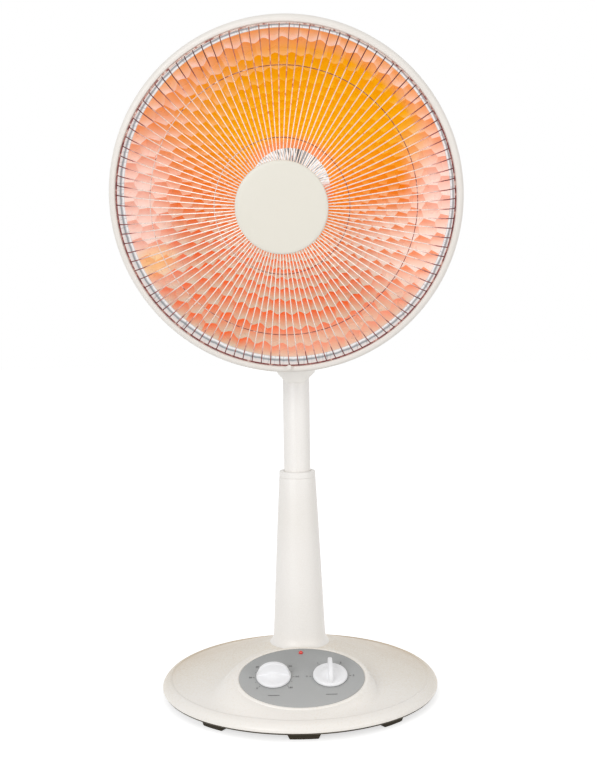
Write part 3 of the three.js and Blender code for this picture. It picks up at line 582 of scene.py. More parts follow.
def dish_metal():
    """Bright metal with painted reflections of an orange glow: each facet runs from a deep
    tone to a pale one, amber over the hub, rose at the sides, and copper and sand below;
    over them lies a painted glow."""
    material, tree, shader = new_finish("dish_metal")
    place = surface_place(tree, HEAD_PLACE)
    height = along(tree, place, 1)
    radius, direction = round_axis(tree, place)
    sideways, upward = along(tree, direction, 0), along(tree, direction, 1)
    uneven = noise(tree, place, 55, 2)
    share = facet_share(tree, direction, uneven)

    # Painted reflections: each facet runs between a deep tone and a pale one.
    rose = tones_of(tree, share, (0.05, 243, 200, 182), (0.45, 236, 164, 130), (0.95, 232, 124, 68))
    orange = tones_of(tree, share, (0.05, 236, 174, 140), (0.45, 230, 138, 88), (0.95, 230, 100, 34))
    copper = tones_of(tree, share, (0.05, 204, 188, 168), (0.4, 214, 158, 128), (0.95, 234, 106, 56))
    near = blend_colours(tree, remap(tree, radius, 0.130, 0.092), rose, orange)
    ground = blend_colours(tree, remap(tree, height, 0.000, -0.060), near, copper)

    # Painted reflection: amber over the hub, tawny lower down.
    amber = tones_of(tree, share, (0.0, 243, 186, 34), (0.3, 240, 174, 2), (1.0, 238, 160, 0))
    tawny = tones_of(tree, share, (0.0, 240, 160, 60), (0.4, 236, 138, 34), (1.0, 234, 122, 12))
    golden = blend_colours(tree, remap(tree, height, 0.060, 0.005), amber, tawny)
    from_amber = oval_distance(tree, place, (0.036, 0.060), (0.130, 0.104))
    patchy = plus(tree, from_amber, swing(tree, share, -0.35))
    amber_part = times(tree, remap(tree, patchy, 1.3, 0.72), remap(tree, radius, 0.160, 0.143))
    reflected_amber = blend_colours(tree, amber_part, ground, golden)

    # Painted reflection: pale pink towards the outer edge at the left and right sides.
    level_part = times(
        tree, remap(tree, upward, -0.65, -0.2, 0.15, 1.0), remap(tree, upward, 0.52, 0.12),
    )
    blush_part = times(
        tree,
        times(tree, remap(tree, radius, 0.118, 0.146), level_part),
        remap(tree, math_node(tree, "ABSOLUTE", sideways), 0.45, 0.9, 0.0, 0.95),
    )
    blush = tones_of(tree, share, (0.1, 252, 230, 223), (0.5, 248, 213, 203), (0.9, 240, 184, 168))
    sided = blend_colours(tree, blush_part, reflected_amber, blush)

    # Painted reflection: peach at the outer edge over the top.
    peach_part = times(
        tree, remap(tree, radius, 0.144, 0.156), remap(tree, upward, 0.2, 0.7, 0.0, 0.85),
    )
    peach = tones_of(tree, share, (0.1, 250, 222, 208), (0.5, 244, 192, 150), (0.9, 240, 168, 104))
    topped = blend_colours(tree, peach_part, sided, peach)

    # Painted reflection: a pale washed-out patch low on the right of the dish.
    from_pale_reflection = oval_distance(tree, place, (0.118, -0.056), (0.075, 0.050))
    pale_reflection_part = remap(tree, from_pale_reflection, 1.15, 0.4, 0.0, 0.8)
    pale_reflection = tones_of(tree, share, (0.1, 250, 234, 226), (0.5, 246, 208, 190), (0.9, 240, 152, 108))
    with_pale_reflection = blend_colours(tree, pale_reflection_part, topped, pale_reflection)

    # Painted reflection: a paler outer edge along the bottom of the dish.
    low_part = times(
        tree,
        remap(tree, radius, 0.130, 0.152, 0.0, 0.5),
        times(tree, remap(tree, upward, -0.5, -0.8), remap(tree, sideways, -0.35, 0.0)),
    )
    edged = blend_colours(tree, low_part, with_pale_reflection, srgb(234, 190, 168))
    # Painted glint: a small amber highlight low on the left of the dish.
    from_glint = oval_distance(tree, place, (-0.138, -0.063), (0.0227, 0.0179))
    glint = remap(tree, from_glint, 1.1, 0.3, 0.0, 0.55)
    glinting = blend_colours(tree, glint, edged, srgb(244, 196, 104))
    # Painted reflection: a salmon band on the dish just above the hub.
    over_hub = times(
        tree, remap(tree, radius, 0.060, 0.048, 0.0, 0.8), remap(tree, height, 0.015, 0.035),
    )
    finished = blend_colours(tree, over_hub, glinting, srgb(238, 138, 96))
    paint(tree, shader, finished)
    # Painted glow: the dish glows with its own painted colours.
    tree.links.new(finished, shader.inputs["Emission Color"])
    shader.inputs["Emission Strength"].default_value = 0.3
    shader.inputs["Specular IOR Level"].default_value = 0.2
    shader.inputs["Metallic"].default_value = 0.25
    roughen(tree, shader, uneven, 0.24, 0.34)
    add_bump(tree, shader, noise(tree, place, 300, 2), 0.00006, 0.2)
    return material


def band_metal():
    """The bright collar round the dish: painted reflections in rings of grey and white, broken by fine
    radial ticks, under a painted glow.
    """
    material, tree, shader = new_finish("band_metal")
    place = surface_place(tree, HEAD_PLACE)
    radius, direction = round_axis(tree, place)
    streaks = noise(tree, place, 150, 3, (1, 1, 0.12))
    outward = plus(tree, remap(tree, radius, 0.1620, 0.1668), swing(tree, streaks, 0.28))
    rings = tones_of(
        tree, outward,
        (0.0, 212, 214, 215), (0.22, 251, 253, 255), (0.40, 190, 196, 200),
        (0.55, 126, 136, 143), (0.74, 218, 221, 222), (1.0, 216, 214, 212),
    )
    ticks = remap(tree, noise(tree, direction, 85, 2), 0.56, 0.66, 0.0, 0.45)
    tones = blend_colours(tree, ticks, rings, srgb(120, 126, 132))
    # Painted glow over the painted reflections of the collar.
    glow_with(tree, shader, tones, 0.82, 0.82)
    roughen(tree, shader, streaks, 0.2, 0.34)
    add_bump(tree, shader, streaks, 0.0001, 0.3)
    return material


def pan_metal():
    """The polished pan round the element: painted reflections in fine radial streaks, painted shade
    towards its top and bottom, a painted orange reflection on its lower half, and a painted glow.
    """
    material, tree, shader = new_finish("pan_metal")
    direction = round_axis(tree, surface_place(tree, HEAD_PLACE))[1]
    sideways, upward = along(tree, direction, 0), along(tree, direction, 1)
    turn = math_node(tree, "ARCTAN2", upward, sideways)
    tick = times(tree, math_node(tree, "SINE", times(tree, turn, 96.0)), 0.13)
    streaks = plus(tree, noise(tree, direction, 20, 3), tick)
    # Painted shade: darker towards the top and bottom of the pan.
    shade = times(tree, remap(tree, sideways, -0.75, 0.35), remap(tree, sideways, 0.75, 0.25))
    mixed = minus(tree, streaks, times(tree, shade, 0.2))
    tones = tones_of(tree, mixed, (0.22, 98, 96, 96), (0.36, 184, 184, 185), (0.5, 250, 251, 252))
    # Painted reflection: orange on the lower half of the pan.
    with_orange_reflection = blend_colours(tree, remap(tree, upward, 0.2, 0.04), tones, srgb(236, 138, 98))
    glow_with(tree, shader, with_orange_reflection, 0.9, 0.85)
    shader.inputs["Specular IOR Level"].default_value = 0.15
    roughen(tree, shader, streaks, 0.15, 0.3)
    return material


def ring_metal():
    """The thin rings of the guard, painted with reflections and shade: pale, broken by short dark red
    dashes at the sides.
    """
    material, tree, shader = new_finish("ring_metal")
    place = surface_place(tree, HEAD_PLACE)
    radius, direction = round_axis(tree, place)
    dashes = noise(tree, direction, 30, 2)
    at_edge = remap(tree, radius, 0.140, 0.155)
    # Painted reflection: the edge ring is paler over the top, and the inner rings are paler at the left.
    top_part = times(tree, at_edge, remap(tree, along(tree, direction, 1), 0.35, 0.85, 0.0, 0.2))
    within = minus(tree, 1.0, at_edge)
    left_part = times(tree, within, remap(tree, along(tree, direction, 0), -0.2, -0.8, 0.0, 0.22))
    level = minus(tree, minus(tree, dashes, top_part), left_part)
    tones = tones_of(
        tree, level,
        (0.30, 224, 206, 198), (0.38, 196, 150, 138), (0.46, 150, 84, 80), (0.60, 118, 50, 54),
    )
    paint(tree, shader, tones)
    shader.inputs["Metallic"].default_value = 0.2
    roughen(tree, shader, dashes, 0.26, 0.4)
    add_bump(tree, shader, noise(tree, place, 600, 2), 0.00005, 0.2)
    return material


def guard_metal():
    """Plated wire painted with light: painted shade, dark where it bends into the rim; painted
    reflections, pale over the dish, with short rosy stretches.
    """
    material, tree, shader = new_finish("guard_metal")
    place = surface_place(tree, HEAD_PLACE)
    across, height = along(tree, place, 0), along(tree, place, 1)
    radius = round_axis(tree, place)[0]
    dashes = noise(tree, place, 130, 2)
    reach = plus(tree, radius, swing(tree, dashes, 0.03))
    raised = plus(tree, reach, remap(tree, height, 0.06, 0.15, 0.0, 0.012))
    tones = tones_of(
        tree, remap(tree, raised, 0.100, 0.180),
        (0.0, 240, 230, 222), (0.48, 232, 214, 204), (0.60, 214, 158, 146),
        (0.68, 150, 66, 64), (0.80, 96, 32, 36), (1.0, 84, 44, 46),
    )
    # Painted reflection: an orange tint over the dish, pinker above the middle.
    within = times(
        tree, remap(tree, radius, 0.146, 0.130), remap(tree, height, 0.0, 0.07, 0.0, 0.45),
    )
    toned = blend_colours(tree, within, tones, srgb(226, 172, 134))
    off_middle = math_node(tree, "ABSOLUTE", plus(tree, across, 0.004))
    aside = math_node(tree, "DIVIDE", off_middle, radius)
    above = times(tree, remap(tree, aside, 0.42, 0.16), remap(tree, height, 0.06, 0.10))
    pinker = blend_colours(tree, times(tree, above, 0.5), toned, srgb(226, 160, 124))
    low_mark = minus(tree, 0.66, times(tree, above, 0.14))
    rosy = times(tree, minus(tree, noise(tree, place, 210, 2), low_mark), 9.0, clamp=True)
    dotted = blend_colours(tree, times(tree, rosy, 0.8), pinker, srgb(180, 66, 58))
    paint(tree, shader, dotted)
    shader.inputs["Metallic"].default_value = 0.35
    roughen(tree, shader, dashes, 0.22, 0.34)
    return material


def ceramic():
    material, tree, shader = new_finish("ceramic")
    place = surface_place(tree)
    grain = noise(tree, place, 500, 4)
    drift = noise(tree, place, 40, 3)
    paint(tree, shader, tones_of(tree, drift, (0.3, 222, 213, 192), (0.7, 238, 232, 216)))
    roughen(tree, shader, grain, 0.6, 0.8)
    add_bump(tree, shader, grain, 0.00015, 0.5)
    return material


def coil_metal():
    material, tree, shader = new_finish("coil_metal")
    turns = noise(tree, surface_place(tree), 1200, 2)
    paint(tree, shader, tones_of(tree, turns, (0.3, 96, 62, 46), (0.7, 168, 118, 86)))
    shader.inputs["Metallic"].default_value = 0.7
    roughen(tree, shader, turns, 0.4, 0.6)
    add_bump(tree, shader, turns, 0.0003, 0.7)
    return material


def red_lens():
    material, tree, shader = new_finish("red_lens")
    drift = noise(tree, surface_place(tree), 700, 2)
    paint(tree, shader, tones_of(tree, drift, (0.3, 206, 34, 26), (0.7, 232, 66, 48)))
    shader.inputs["Roughness"].default_value = 0.18
    shader.inputs["Coat Weight"].default_value = 0.6
    shader.inputs["Coat Roughness"].default_value = 0.08
    return material


FINISHES = {
    "base_plastic": base_plastic(),
    # The neck plastic is a paler copy of the white plastic: painted light that undoes the shade under the
    # dish.
    "neck_plastic_painted_light": moulded("neck_plastic_painted_light", srgb(252, 249, 244), srgb(249, 245, 239), 0.4),
    "white_plastic": moulded("cover_plastic", srgb(236, 231, 223), srgb(231, 225, 216), 0.44),
    "rim_plastic": moulded("rim_plastic", srgb(235, 230, 224), srgb(231, 226, 219), 0.4),
    "cap_plastic": moulded("cap_plastic", srgb(229, 225, 214), srgb(226, 222, 210), 0.42, 1800, 0.00003),
    "column": column_paint(),
    "panel": panel_plastic(),
    "knob": moulded("knob_plastic", srgb(247, 247, 248), srgb(242, 242, 244), 0.34, 1800, 0.00002),
    "ink": moulded("dial_print", srgb(92, 90, 90), srgb(76, 74, 74), 0.6, 2400, 0.00001),
    "rubber": rubber(),
    "plate": dark_plate(),
    "iron": bare_metal("cast_iron", srgb(112, 108, 102), srgb(74, 71, 67), 0.7, 0.6, (1, 1, 1)),
    "zinc": bare_metal("zinc_plate", srgb(208, 210, 212), srgb(168, 171, 175), 0.34),
    "black": moulded("black_plastic", srgb(48, 48, 49), srgb(36, 36, 37), 0.55),
    "dish": dish_metal(),
    "dish_back": bare_metal(
        "dish_back_metal", srgb(212, 212, 214), srgb(205, 205, 208), 0.34, 0.8, (1, 1, 1),
    ),
    "band": band_metal(),
    "pan": pan_metal(),
    "guard": guard_metal(),
    "ring": ring_metal(),
    "ceramic": ceramic(),
    "coil": coil_metal(),
    "lens": red_lens(),
}


def settle(piece, body, finish, place=None, stands_for=(), angle=35):
    """Puts a piece in its place, gives it its finish and ties it to what it moves with."""
    if place is not None:
        put(piece, place)
    pick(piece)
    bpy.ops.object.shade_smooth_by_angle(angle=math.radians(angle))
    if not piece.data.materials:
        piece.data.materials.append(FINISHES[finish])
    else:
        piece.data.materials[0] = FINISHES[finish]
    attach(piece, body)
    if stands_for:
        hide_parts(*stands_for)


# ------------------------------------------------------------------ base
PANEL_SEMI = (67, 48)
PANEL_MARGIN = 5
KNEE = (140, 20.0)
HUB = (46, 50.6)
HUB_EDGE = 37


def clamped(value):
    return min(max(value, 0), 1)


def softened(t):
    """A share from 0 to 1 that starts and ends gently."""
    return t * t * (3 - 2 * t)


def dome_line():
    """The slope of the base between its knee and the hub, a little fuller in the middle."""
    line = []
    for i in range(1, 32):
        t = i / 32
        radius = KNEE[0] + (HUB[0] - KNEE[0]) * t + 8 * t * (1 - t)
        line.append((radius, KNEE[1] + (HUB[1] - KNEE[1]) * t))
    return line


def swell_to_panel(piece):
    """Raises the slope into a soft plateau under the sloping panel, with a steeper right side."""
    slope = math.radians(PANEL_SLOPE)
    for vertex in piece.data.vertices:
        x, y, z = (c / MM for c in vertex.co)
        radius = math.hypot(x, y)
        if vertex.normal.z < 0.2 or radius < HUB_EDGE or radius > 150:
            continue
        back = y - PANEL_BACK
        run = back / math.cos(slope)
        share = math.hypot(x / (PANEL_SEMI[0] + PANEL_MARGIN), run / (PANEL_SEMI[1] + PANEL_MARGIN))
        level = PANEL_HEIGHT + back * math.tan(slope) - 0.9
        if level < z:
            continue
        width = 0.34 - 0.22 * clamped((x - 20) / 30)
        raised = 1 - softened(clamped((share - 1) / width))
        clear = clamped((radius - HUB_EDGE) / 10)
        vertex.co.z = (z + (level - z) * raised * clear) * MM


def add_base_cover():
    outside = [
        (152.5, 9.2), (155, 9.2, 0.6), (155, 12.6, 1.6), (151.4, 17.3, 2.2), (146.4, 19.8, 1.0),
        (144.2, 18.9, 0.5),
    ]
    hub = [(*HUB, 6), (37.5, 53.6, 4), (33.6, 56.0, 0.2), (24.3, 56.0), (24.3, 47.7)]
    inside = [(38, 47.2), (46, 43.6), (90, 31.2), (138, 17.6), (149, 14.6), (152.5, 12)]
    line = eased(outside + dome_line() + hub + inside, closed=True, steps=4)
    cover = turned("base_cover_shell", line, 192, closed=True)
    swell_to_panel(cover)
    edge = [
        (66.9, -4), (67.1, -0.2, 0.4), (68, 0.25, 0.5), (70.4, 0.1, 1.2), (72.3, -1.6, 1.2), (73.4, -5),
    ]
    lip = round_shell("panel_surround", edge, 160)
    put(lip, PANEL_PLACE @ Matrix.Diagonal((1, PANEL_SEMI[1] / PANEL_SEMI[0], 1, 1)))
    settle(lip, "stand", "base_plastic")
    settle(cover, "stand", "base_plastic", stands_for=["base_cover"])


FOOT_TAPER = 0.18
FOOT_HEIGHT = 7
FRONT_FOOT_STRETCH = 1.15


def add_feet():
    """Nine rubber feet that taper towards the floor; the first one, in front, is wider."""
    for i in range(1, 10):
        foot = rounded_copy(f"foot_{i}", f"rubber_foot_{i}", 0.9)
        centre = sum((v.co for v in foot.data.vertices), Vector()) / len(foot.data.vertices)
        for vertex in foot.data.vertices:
            if i == 1:
                vertex.co.x *= FRONT_FOOT_STRETCH
            taper = FOOT_TAPER * (1 - min(vertex.co.z / (FOOT_HEIGHT * MM), 1))
            vertex.co.x += (centre.x - vertex.co.x) * taper
            vertex.co.y += (centre.y - vertex.co.y) * taper
        settle(foot, "stand", "rubber", stands_for=[f"foot_{i}"])


def add_base_plate():
    line = [
        (6.5, 7.3), (60, 7.3, 1), (62, 8.0, 1), (66, 8.0, 1), (68, 7.3, 1), (153.6, 7.3, 0.5),
        (154.3, 8.9, 0.5), (150, 8.9), (6.5, 8.9),
    ]
    sheet = round_shell("base_plate_sheet", line, 160)
    settle(sheet, "stand", "plate", stands_for=["base_plate"])
    tip = [(0, 0), (5, 0, 0.8), (6, 1.2, 0.8), (6, 17.9, 0.5), (0, 17.9)]
    plunger = round_solid("plunger_tip", tip, 40)
    settle(plunger, "plunger", "black", stands_for=["tip_plunger"])


def add_gland():
    line = [(3.6, 4.3), (6.5, 4.3, 0.8), (6.5, 9.2), (9, 9.2, 0.5), (9, 11.8, 0.5), (3.6, 11.8)]
    gland = round_shell("cord_gland_ring", line, 48)
    settle(gland, "stand", "black", shifted(0, 137, 0), ["cord_gland"])


def add_base_screws():
    line = [
        (0, 5.4), (1.2, 5.0, 0.3), (3.4, 5.0, 0.8), (4, 7.0, 0.3), (2, 7.0), (2, 16.2, 0.4), (0, 16.2),
    ]
    for i in range(1, 5):
        low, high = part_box(f"base_screw_{i}")
        place = Matrix.Translation(((low.x + high.x) / 2, (low.y + high.y) / 2, 0))
        screw = round_solid(f"base_screw_part_{i}", line, 32)
        settle(screw, "stand", "zinc", place, [f"base_screw_{i}"])


# ------------------------------------------------------------------ control panel
def add_panel():
    line = [(0, 0.35), (30, 0.3), (60, 0.12), (66.5, 0.0, 0.5), (66.7, -2.2, 0.3), (0, -2.2)]
    plate = round_solid("panel_plate", line, 160)
    place = PANEL_PLACE @ Matrix.Diagonal((1, 47.75 / 66.7, 1, 1))
    settle(plate, "stand", "panel", place, ["control_panel"])
    dome = [(0, 2.4), (1.6, 2.2, 0.8), (2.4, 1.0, 0.8), (2.5, -1.5), (0, -1.5)]
    lens = round_solid("indicator_dome", dome, 40)
    settle(lens, "stand", "lens", PANEL_PLACE @ shifted(0, 40, 0), ["indicator_lens"])


KNOB_OFFSET = 30
GRIP_REACH = 16.9
GRIP_HEIGHT = 17.4
GRIP_THICKNESS = 4.4


def knob_mesh(name):
    """A thin round skirt with an arched finger grip across it, melted into one skin."""
    line = [
        (0, 1), (18.5, 1, 0.3), (18.3, 3.2, 0.8), (16.6, 4.4, 1), (9.5, 5.0, 2.5), (4.0, 8.6, 2),
        (0, 9.2),
    ]
    skirt = round_solid(f"{name}_skirt", line, 72)
    outline = []
    for i in range(33):
        angle = math.pi * i / 32
        outline.append((GRIP_REACH * math.cos(angle), 2.2 + GRIP_HEIGHT * math.sin(angle) ** 0.8))
    blade = bevelled(cut_out(f"{name}_blade", outline, GRIP_THICKNESS), 0.9, 3, 50)
    knob = join(name, skirt, blade)
    apply_modifier(knob, "REMESH", mode="VOXEL", voxel_size=0.42 * MM)
    apply_modifier(knob, "SMOOTH", factor=0.5, iterations=7)
    shaft = turned(f"{name}_shaft", [(0, -8), (2.8, -8), (2.8, 3), (0, 3)], 32)
    return join(name, knob, shaft)


def add_knobs():
    timer = knob_mesh("timer_grip")
    timer_place = PANEL_PLACE @ shifted(-KNOB_OFFSET, 0, 0)
    settle(timer, "timer_dial", "knob", timer_place, ["timer_knob"], angle=60)
    power = knob_mesh("power_grip")
    power_place = PANEL_PLACE @ shifted(KNOB_OFFSET, 0, 0) @ turn_about("Z", 90)
    settle(power, "power_dial", "knob", power_place, ["power_knob"], angle=60)


PRINT_HEIGHT = 0.42


def dial_mark(name, centre, degrees, inner, outer, width):
    """One printed line of a dial, as a thin raised strip."""
    half = width / 2
    strip = cut_out(name, [(-half, inner), (half, inner), (half, outer), (-half, outer)], 0.12)
    put(strip, turn_about("X", -90))
    put(strip, shifted(centre, 0, PRINT_HEIGHT) @ turn_about("Z", degrees))
    return strip


def dial_number(name, text, centre, degrees, radius, size):
    """One printed number of a dial, upright, at an angle from the top of the dial."""
    deselect_all()
    bpy.ops.object.text_add()
    label = bpy.context.object
    label.data.body = text
    label.data.size = size * MM
    label.data.extrude = 0.05 * MM
    label.data.align_x = "CENTER"
    label.data.align_y = "CENTER"
    label.data.resolution_u = 3
    bpy.ops.object.convert(target="MESH")
    piece = named(name)
    x = centre + radius * math.sin(math.radians(degrees))
    y = radius * math.cos(math.radians(degrees))
    put(piece, shifted(x, y, PRINT_HEIGHT))
    return piece


def add_print():
    timer, power = -KNOB_OFFSET, KNOB_OFFSET
    inner, short, long = 20.2, 21.2, 21.9
    marks = []
    for i in range(13):
        outer = short if i % 2 else long
        marks.append(dial_mark(f"timer_line_{i}", timer, 135 - 22.5 * i, inner, outer, 0.35))
    for i, text in enumerate(("0", "30", "60", "90", "120", "150", "180")):
        marks.append(dial_number(f"timer_number_{i}", text, timer, -135 + 45 * i, 24.6, 3.2))
    for i in range(4):
        marks.append(dial_mark(f"power_line_{i}", power, 90 - 60 * i, inner, long, 0.45))
    for i, text in enumerate(("0", "1", "2", "3")):
        marks.append(dial_number(f"power_number_{i}", text, power, -90 + 60 * i, 24.8, 3.4))
    for centre in (timer, power):
        low = dial_mark(f"underline_{centre}", 0, 90, -6, 6, 0.5)
        put(low, shifted(centre, -29, 0))
        marks.append(low)
    sheet = join("dial_print", *marks)
    settle(sheet, "stand", "ink", PANEL_PLACE)


# ------------------------------------------------------------------ column
def add_column():
    line = [
        (21.4, 56.1), (33.5, 56.1, 0.1), (31.2, 58.6, 2.5), (29.5, 63, 4), (28.9, 70, 4),
        (26.2, 128, 30), (22.9, 196, 20), (20.3, 244.1, 0.5), (17.4, 244.1), (17.4, 205), (26, 70),
        (21.4, 56),
    ]
    column = round_shell("column_shell", line, 96)
    settle(column, "stand", "column", stands_for=["column"])
    ring = [
        (15.2, 208), (17.0, 208), (17.0, 244.2), (20.3, 244.2, 0.15), (20.2, 251.0, 1.3),
        (15.2, 251.0, 0.6),
    ]
    collar = round_shell("collar_ring", ring, 96)
    settle(collar, "stand", "column", stands_for=["column_collar"])


def add_lock_knob():
    """The screw behind the collar, with twelve flutes round its head."""
    line = [
        (0, 14.3), (2, 14.3, 0.2), (2, 20.6), (4.5, 20.6, 0.6), (6.1, 22.2, 0.8), (6.1, 28.4, 0.5),
        (5.3, 29.6, 0.5), (0, 29.6),
    ]
    knob = round_solid("lock_screw_head", line, 48)
    for vertex in knob.data.vertices:
        x, y = vertex.co.xy
        if math.hypot(x, y) > 5 * MM:
            wave = 1 + 0.055 * math.cos(12 * math.atan2(y, x))
            vertex.co.x *= wave
            vertex.co.y *= wave
    settle(knob, "lock", "white_plastic", LOCK_PLACE, ["lock_knob"], angle=50)


def add_tube():
    """The height tube, with a shallow groove down its front."""
    line = [(12.7, 135), (14.8, 135, 0.3), (14.8, 356, 0.3), (12.7, 356)]
    tube = round_shell("height_pipe", line, 160)
    for vertex in tube.data.vertices:
        x, y = vertex.co.xy
        if y < 0 and math.hypot(x, y) > 13.8 * MM:
            near = 1 - min(abs(x - 0.6 * MM) / (2.8 * MM), 1)
            vertex.co.y += 0.34 * MM * softened(near)
    settle(tube, "mast", "column", stands_for=["height_tube"])


# ------------------------------------------------------------------ neck
CHIN_HEIGHT = 350.4
CHIN_HALF_WIDTH = 9.5


def add_neck():
    """The neck housing; its lower edge is cut to a narrow chin with three shallow scallops."""
    line = [
        (15.1, 349), (16.4, 349, 0.3), (18.2, 354.5), (20.6, 360.3, 1.5), (24.2, 368.8, 8),
        (28.6, 386, 12), (30.5, 402, 8), (30.5, 435, 0.6), (28, 435), (28, 402), (26, 386),
        (19.5, 363.5), (15.1, 363.5),
    ]
    housing = round_shell("neck_shell", line, 128)
    for vertex in housing.data.vertices:
        x = abs(vertex.co.x) / MM
        wave = 1.5 * math.pi * (min(x, CHIN_HALF_WIDTH) / CHIN_HALF_WIDTH + 1)
        rise = max(x - CHIN_HALF_WIDTH, 0) * 10 / 10.9
        floor = CHIN_HEIGHT + 0.5 * abs(math.sin(wave)) + rise
        vertex.co.z = max(vertex.co.z, floor * MM)
    settle(housing, "neck", "neck_plastic_painted_light", NECK_PLACE, ["neck_housing"], angle=28)


EAR_RADIUS = 13


def ear_outline(reach):
    """The outline of an ear with a round end, from its pivot down to a reach."""
    outline = []
    for i in range(25):
        angle = math.pi * i / 24
        outline.append((EAR_RADIUS * math.cos(angle), EAR_RADIUS * math.sin(angle)))
    return outline + [(-EAR_RADIUS, -reach), (EAR_RADIUS, -reach)]


def add_yoke():
    line = [
        (25.2, 429.3), (27.7, 429.3), (27.7, 435.3), (30.5, 435.3, 0.4), (30.5, 437.6, 0.8),
        (25.5, 442.3, 3), (0, 442.3), (0, 439.3), (25.2, 438.3),
    ]
    cap = turned("yoke_cap", eased(line), 96)
    ears = []
    for side in (-1, 1):
        ear = bevelled(cut_out("yoke_ear", ear_outline(29), 6), 1.1)
        put(ear, turn_about("Z", 90))
        put(ear, shifted(side * 16.1, 0, PIVOT_HEIGHT))
        ears.append(ear)
    fork = join("neck_fork", cap, *ears)
    settle(fork, "neck", "white_plastic", NECK_PLACE, ["neck_yoke"])


def add_across(piece, stands_for):
    """Lays a turned piece across the neck, on the axis of the tilt."""
    put(piece, turn_about("Y", 90))
    settle(piece, "neck", "zinc", HINGE_PLACE, [stands_for])


def add_tilt_bolt():
    bolt = [
        (0, -25.4), (5.5, -25.4, 1.5), (8, -23.2, 1.2), (8, -19.4, 0.3), (4, -19.4), (4, 25.4, 0.6),
        (0, 25.4),
    ]
    add_across(round_solid("tilt_bolt_part", bolt, 48), "tilt_bolt")
    nut = [(4.3, 19.4), (8, 19.4, 0.4), (8, 24.6, 0.9), (7, 25.4, 0.4), (4.3, 25.4)]
    add_across(round_shell("tilt_nut_part", nut, 6), "tilt_nut")


# ------------------------------------------------------------------ dish
DISH_EDGE = 162.0
DISH_FLOOR = 41.0
LAST_ROW = 152.5
ROW_GROWTH = 1.105
ROW_EDGES = [DISH_FLOOR] + [LAST_ROW / ROW_GROWTH ** k for k in range(12, -1, -1)] + [DISH_EDGE]
FACETS = 52
SCALLOP = 0.0125


def dish_depth(radius):
    """How far behind the plane of the rim the dish lies, as a parabola."""
    return -14 - 92 * (1 - (radius / 160) ** 2)


def facet_row(index, inner, outer):
    """One ring of facets: a single facet is shaped from a grid, then copied round the dish."""
    deselect_all()
    bpy.ops.mesh.primitive_grid_add(x_subdivisions=6, y_subdivisions=4, size=1)
    piece = named(f"facet_row_{index}")
    piece.data.uv_layers[0].name = "facets"
    offset = 0.5 * (index % 2)
    wave_in = 0 if index == 0 else SCALLOP
    wave_out = 0 if outer == DISH_EDGE else SCALLOP
    for vertex in piece.data.vertices:
        u, v = vertex.co.x + 0.5, vertex.co.y + 0.5
        wave = math.cos(TURN * (u - 0.5))
        low = inner * (1 - wave_in * wave)
        high = outer * (1 + wave_out * wave)
        radius = low + (high - low) * v
        angle = TURN * (u - 0.5 + offset) / FACETS
        pillow = 0.5 * (1 - (2 * u - 1) ** 2) * (1 - (2 * v - 1) ** 2)
        place = (radius * math.cos(angle), radius * math.sin(angle), dish_depth(radius) + pillow)
        vertex.co = Vector(place) * MM
    return repeat_round(piece, FACETS)


def add_dish():
    rows = [facet_row(i, a, b) for i, (a, b) in enumerate(zip(ROW_EDGES, ROW_EDGES[1:]))]
    pole = dish_depth(DISH_FLOOR)
    floor = turned("dish_floor", [(20, pole), (DISH_FLOOR, pole)], 104)
    floor.data.uv_layers.new(name="facets")
    dish = join("dish_sheet", rows[0], *rows[1:], floor)
    edit(dish)
    bpy.ops.mesh.remove_doubles(threshold=2e-5)
    bpy.ops.mesh.normals_make_consistent(inside=False)
    leave_edit()
    if sum(face.normal.z * face.area for face in dish.data.polygons) < 0:
        edit(dish)
        bpy.ops.mesh.flip_normals()
        leave_edit()
    dish.data.materials.append(FINISHES["dish"])
    dish.data.materials.append(FINISHES["dish_back"])
    wall = {"thickness": 0.8 * MM, "offset": -1, "material_offset": 1, "material_offset_rim": 1}
    apply_modifier(dish, "SOLIDIFY", **wall)
    settle(dish, "head", "dish", HEAD_PLACE, ["reflector"], angle=20)
    line = [
        (161.7, -13.2), (162.1, -11.9, 0.3), (163.6, -9.0, 2), (166.1, -4, 2), (166.6, 7.4, 0.3),
        (167.0, 7.4), (167.0, -5), (164.6, -10.6), (162.8, -14.0),
    ]
    band = round_shell("dish_band", line, 240)
    settle(band, "head", "band", HEAD_PLACE)


def add_rim():
    line = [
        (166.2, 9.7, 0.4), (166.9, 11.2, 0.8), (170.5, 11.2, 1.7), (173.3, 8.4, 2.5), (173.9, 3.5, 3),
        (173.5, -2.8, 3), (171.9, -8.2, 3), (169.3, -11.5, 2), (167.3, -11.5), (167.3, -9.5),
        (168.4, -9.5, 2), (170.8, -6.6, 2), (171.6, 0, 2), (169.6, 8.0, 2), (166.2, 8.0),
    ]
    rim = turned("rim_hoop", eased(line, closed=True, steps=4), 240, closed=True)
    settle(rim, "head", "rim_plastic", HEAD_PLACE, ["rim_ring"])
    tab = [(-3.8, 10.8), (3.8, 10.8), (3.8, 12.2), (-3.8, 12.2)]
    clip = bevelled(cut_out("rim_clip_tab", tab, 4.2), 0.4)
    place = HEAD_PLACE @ shifted(0, -167.6, 0)
    settle(clip, "head", "rim_plastic", place, ["rim_clip"])


GUARD_WIRES = 108


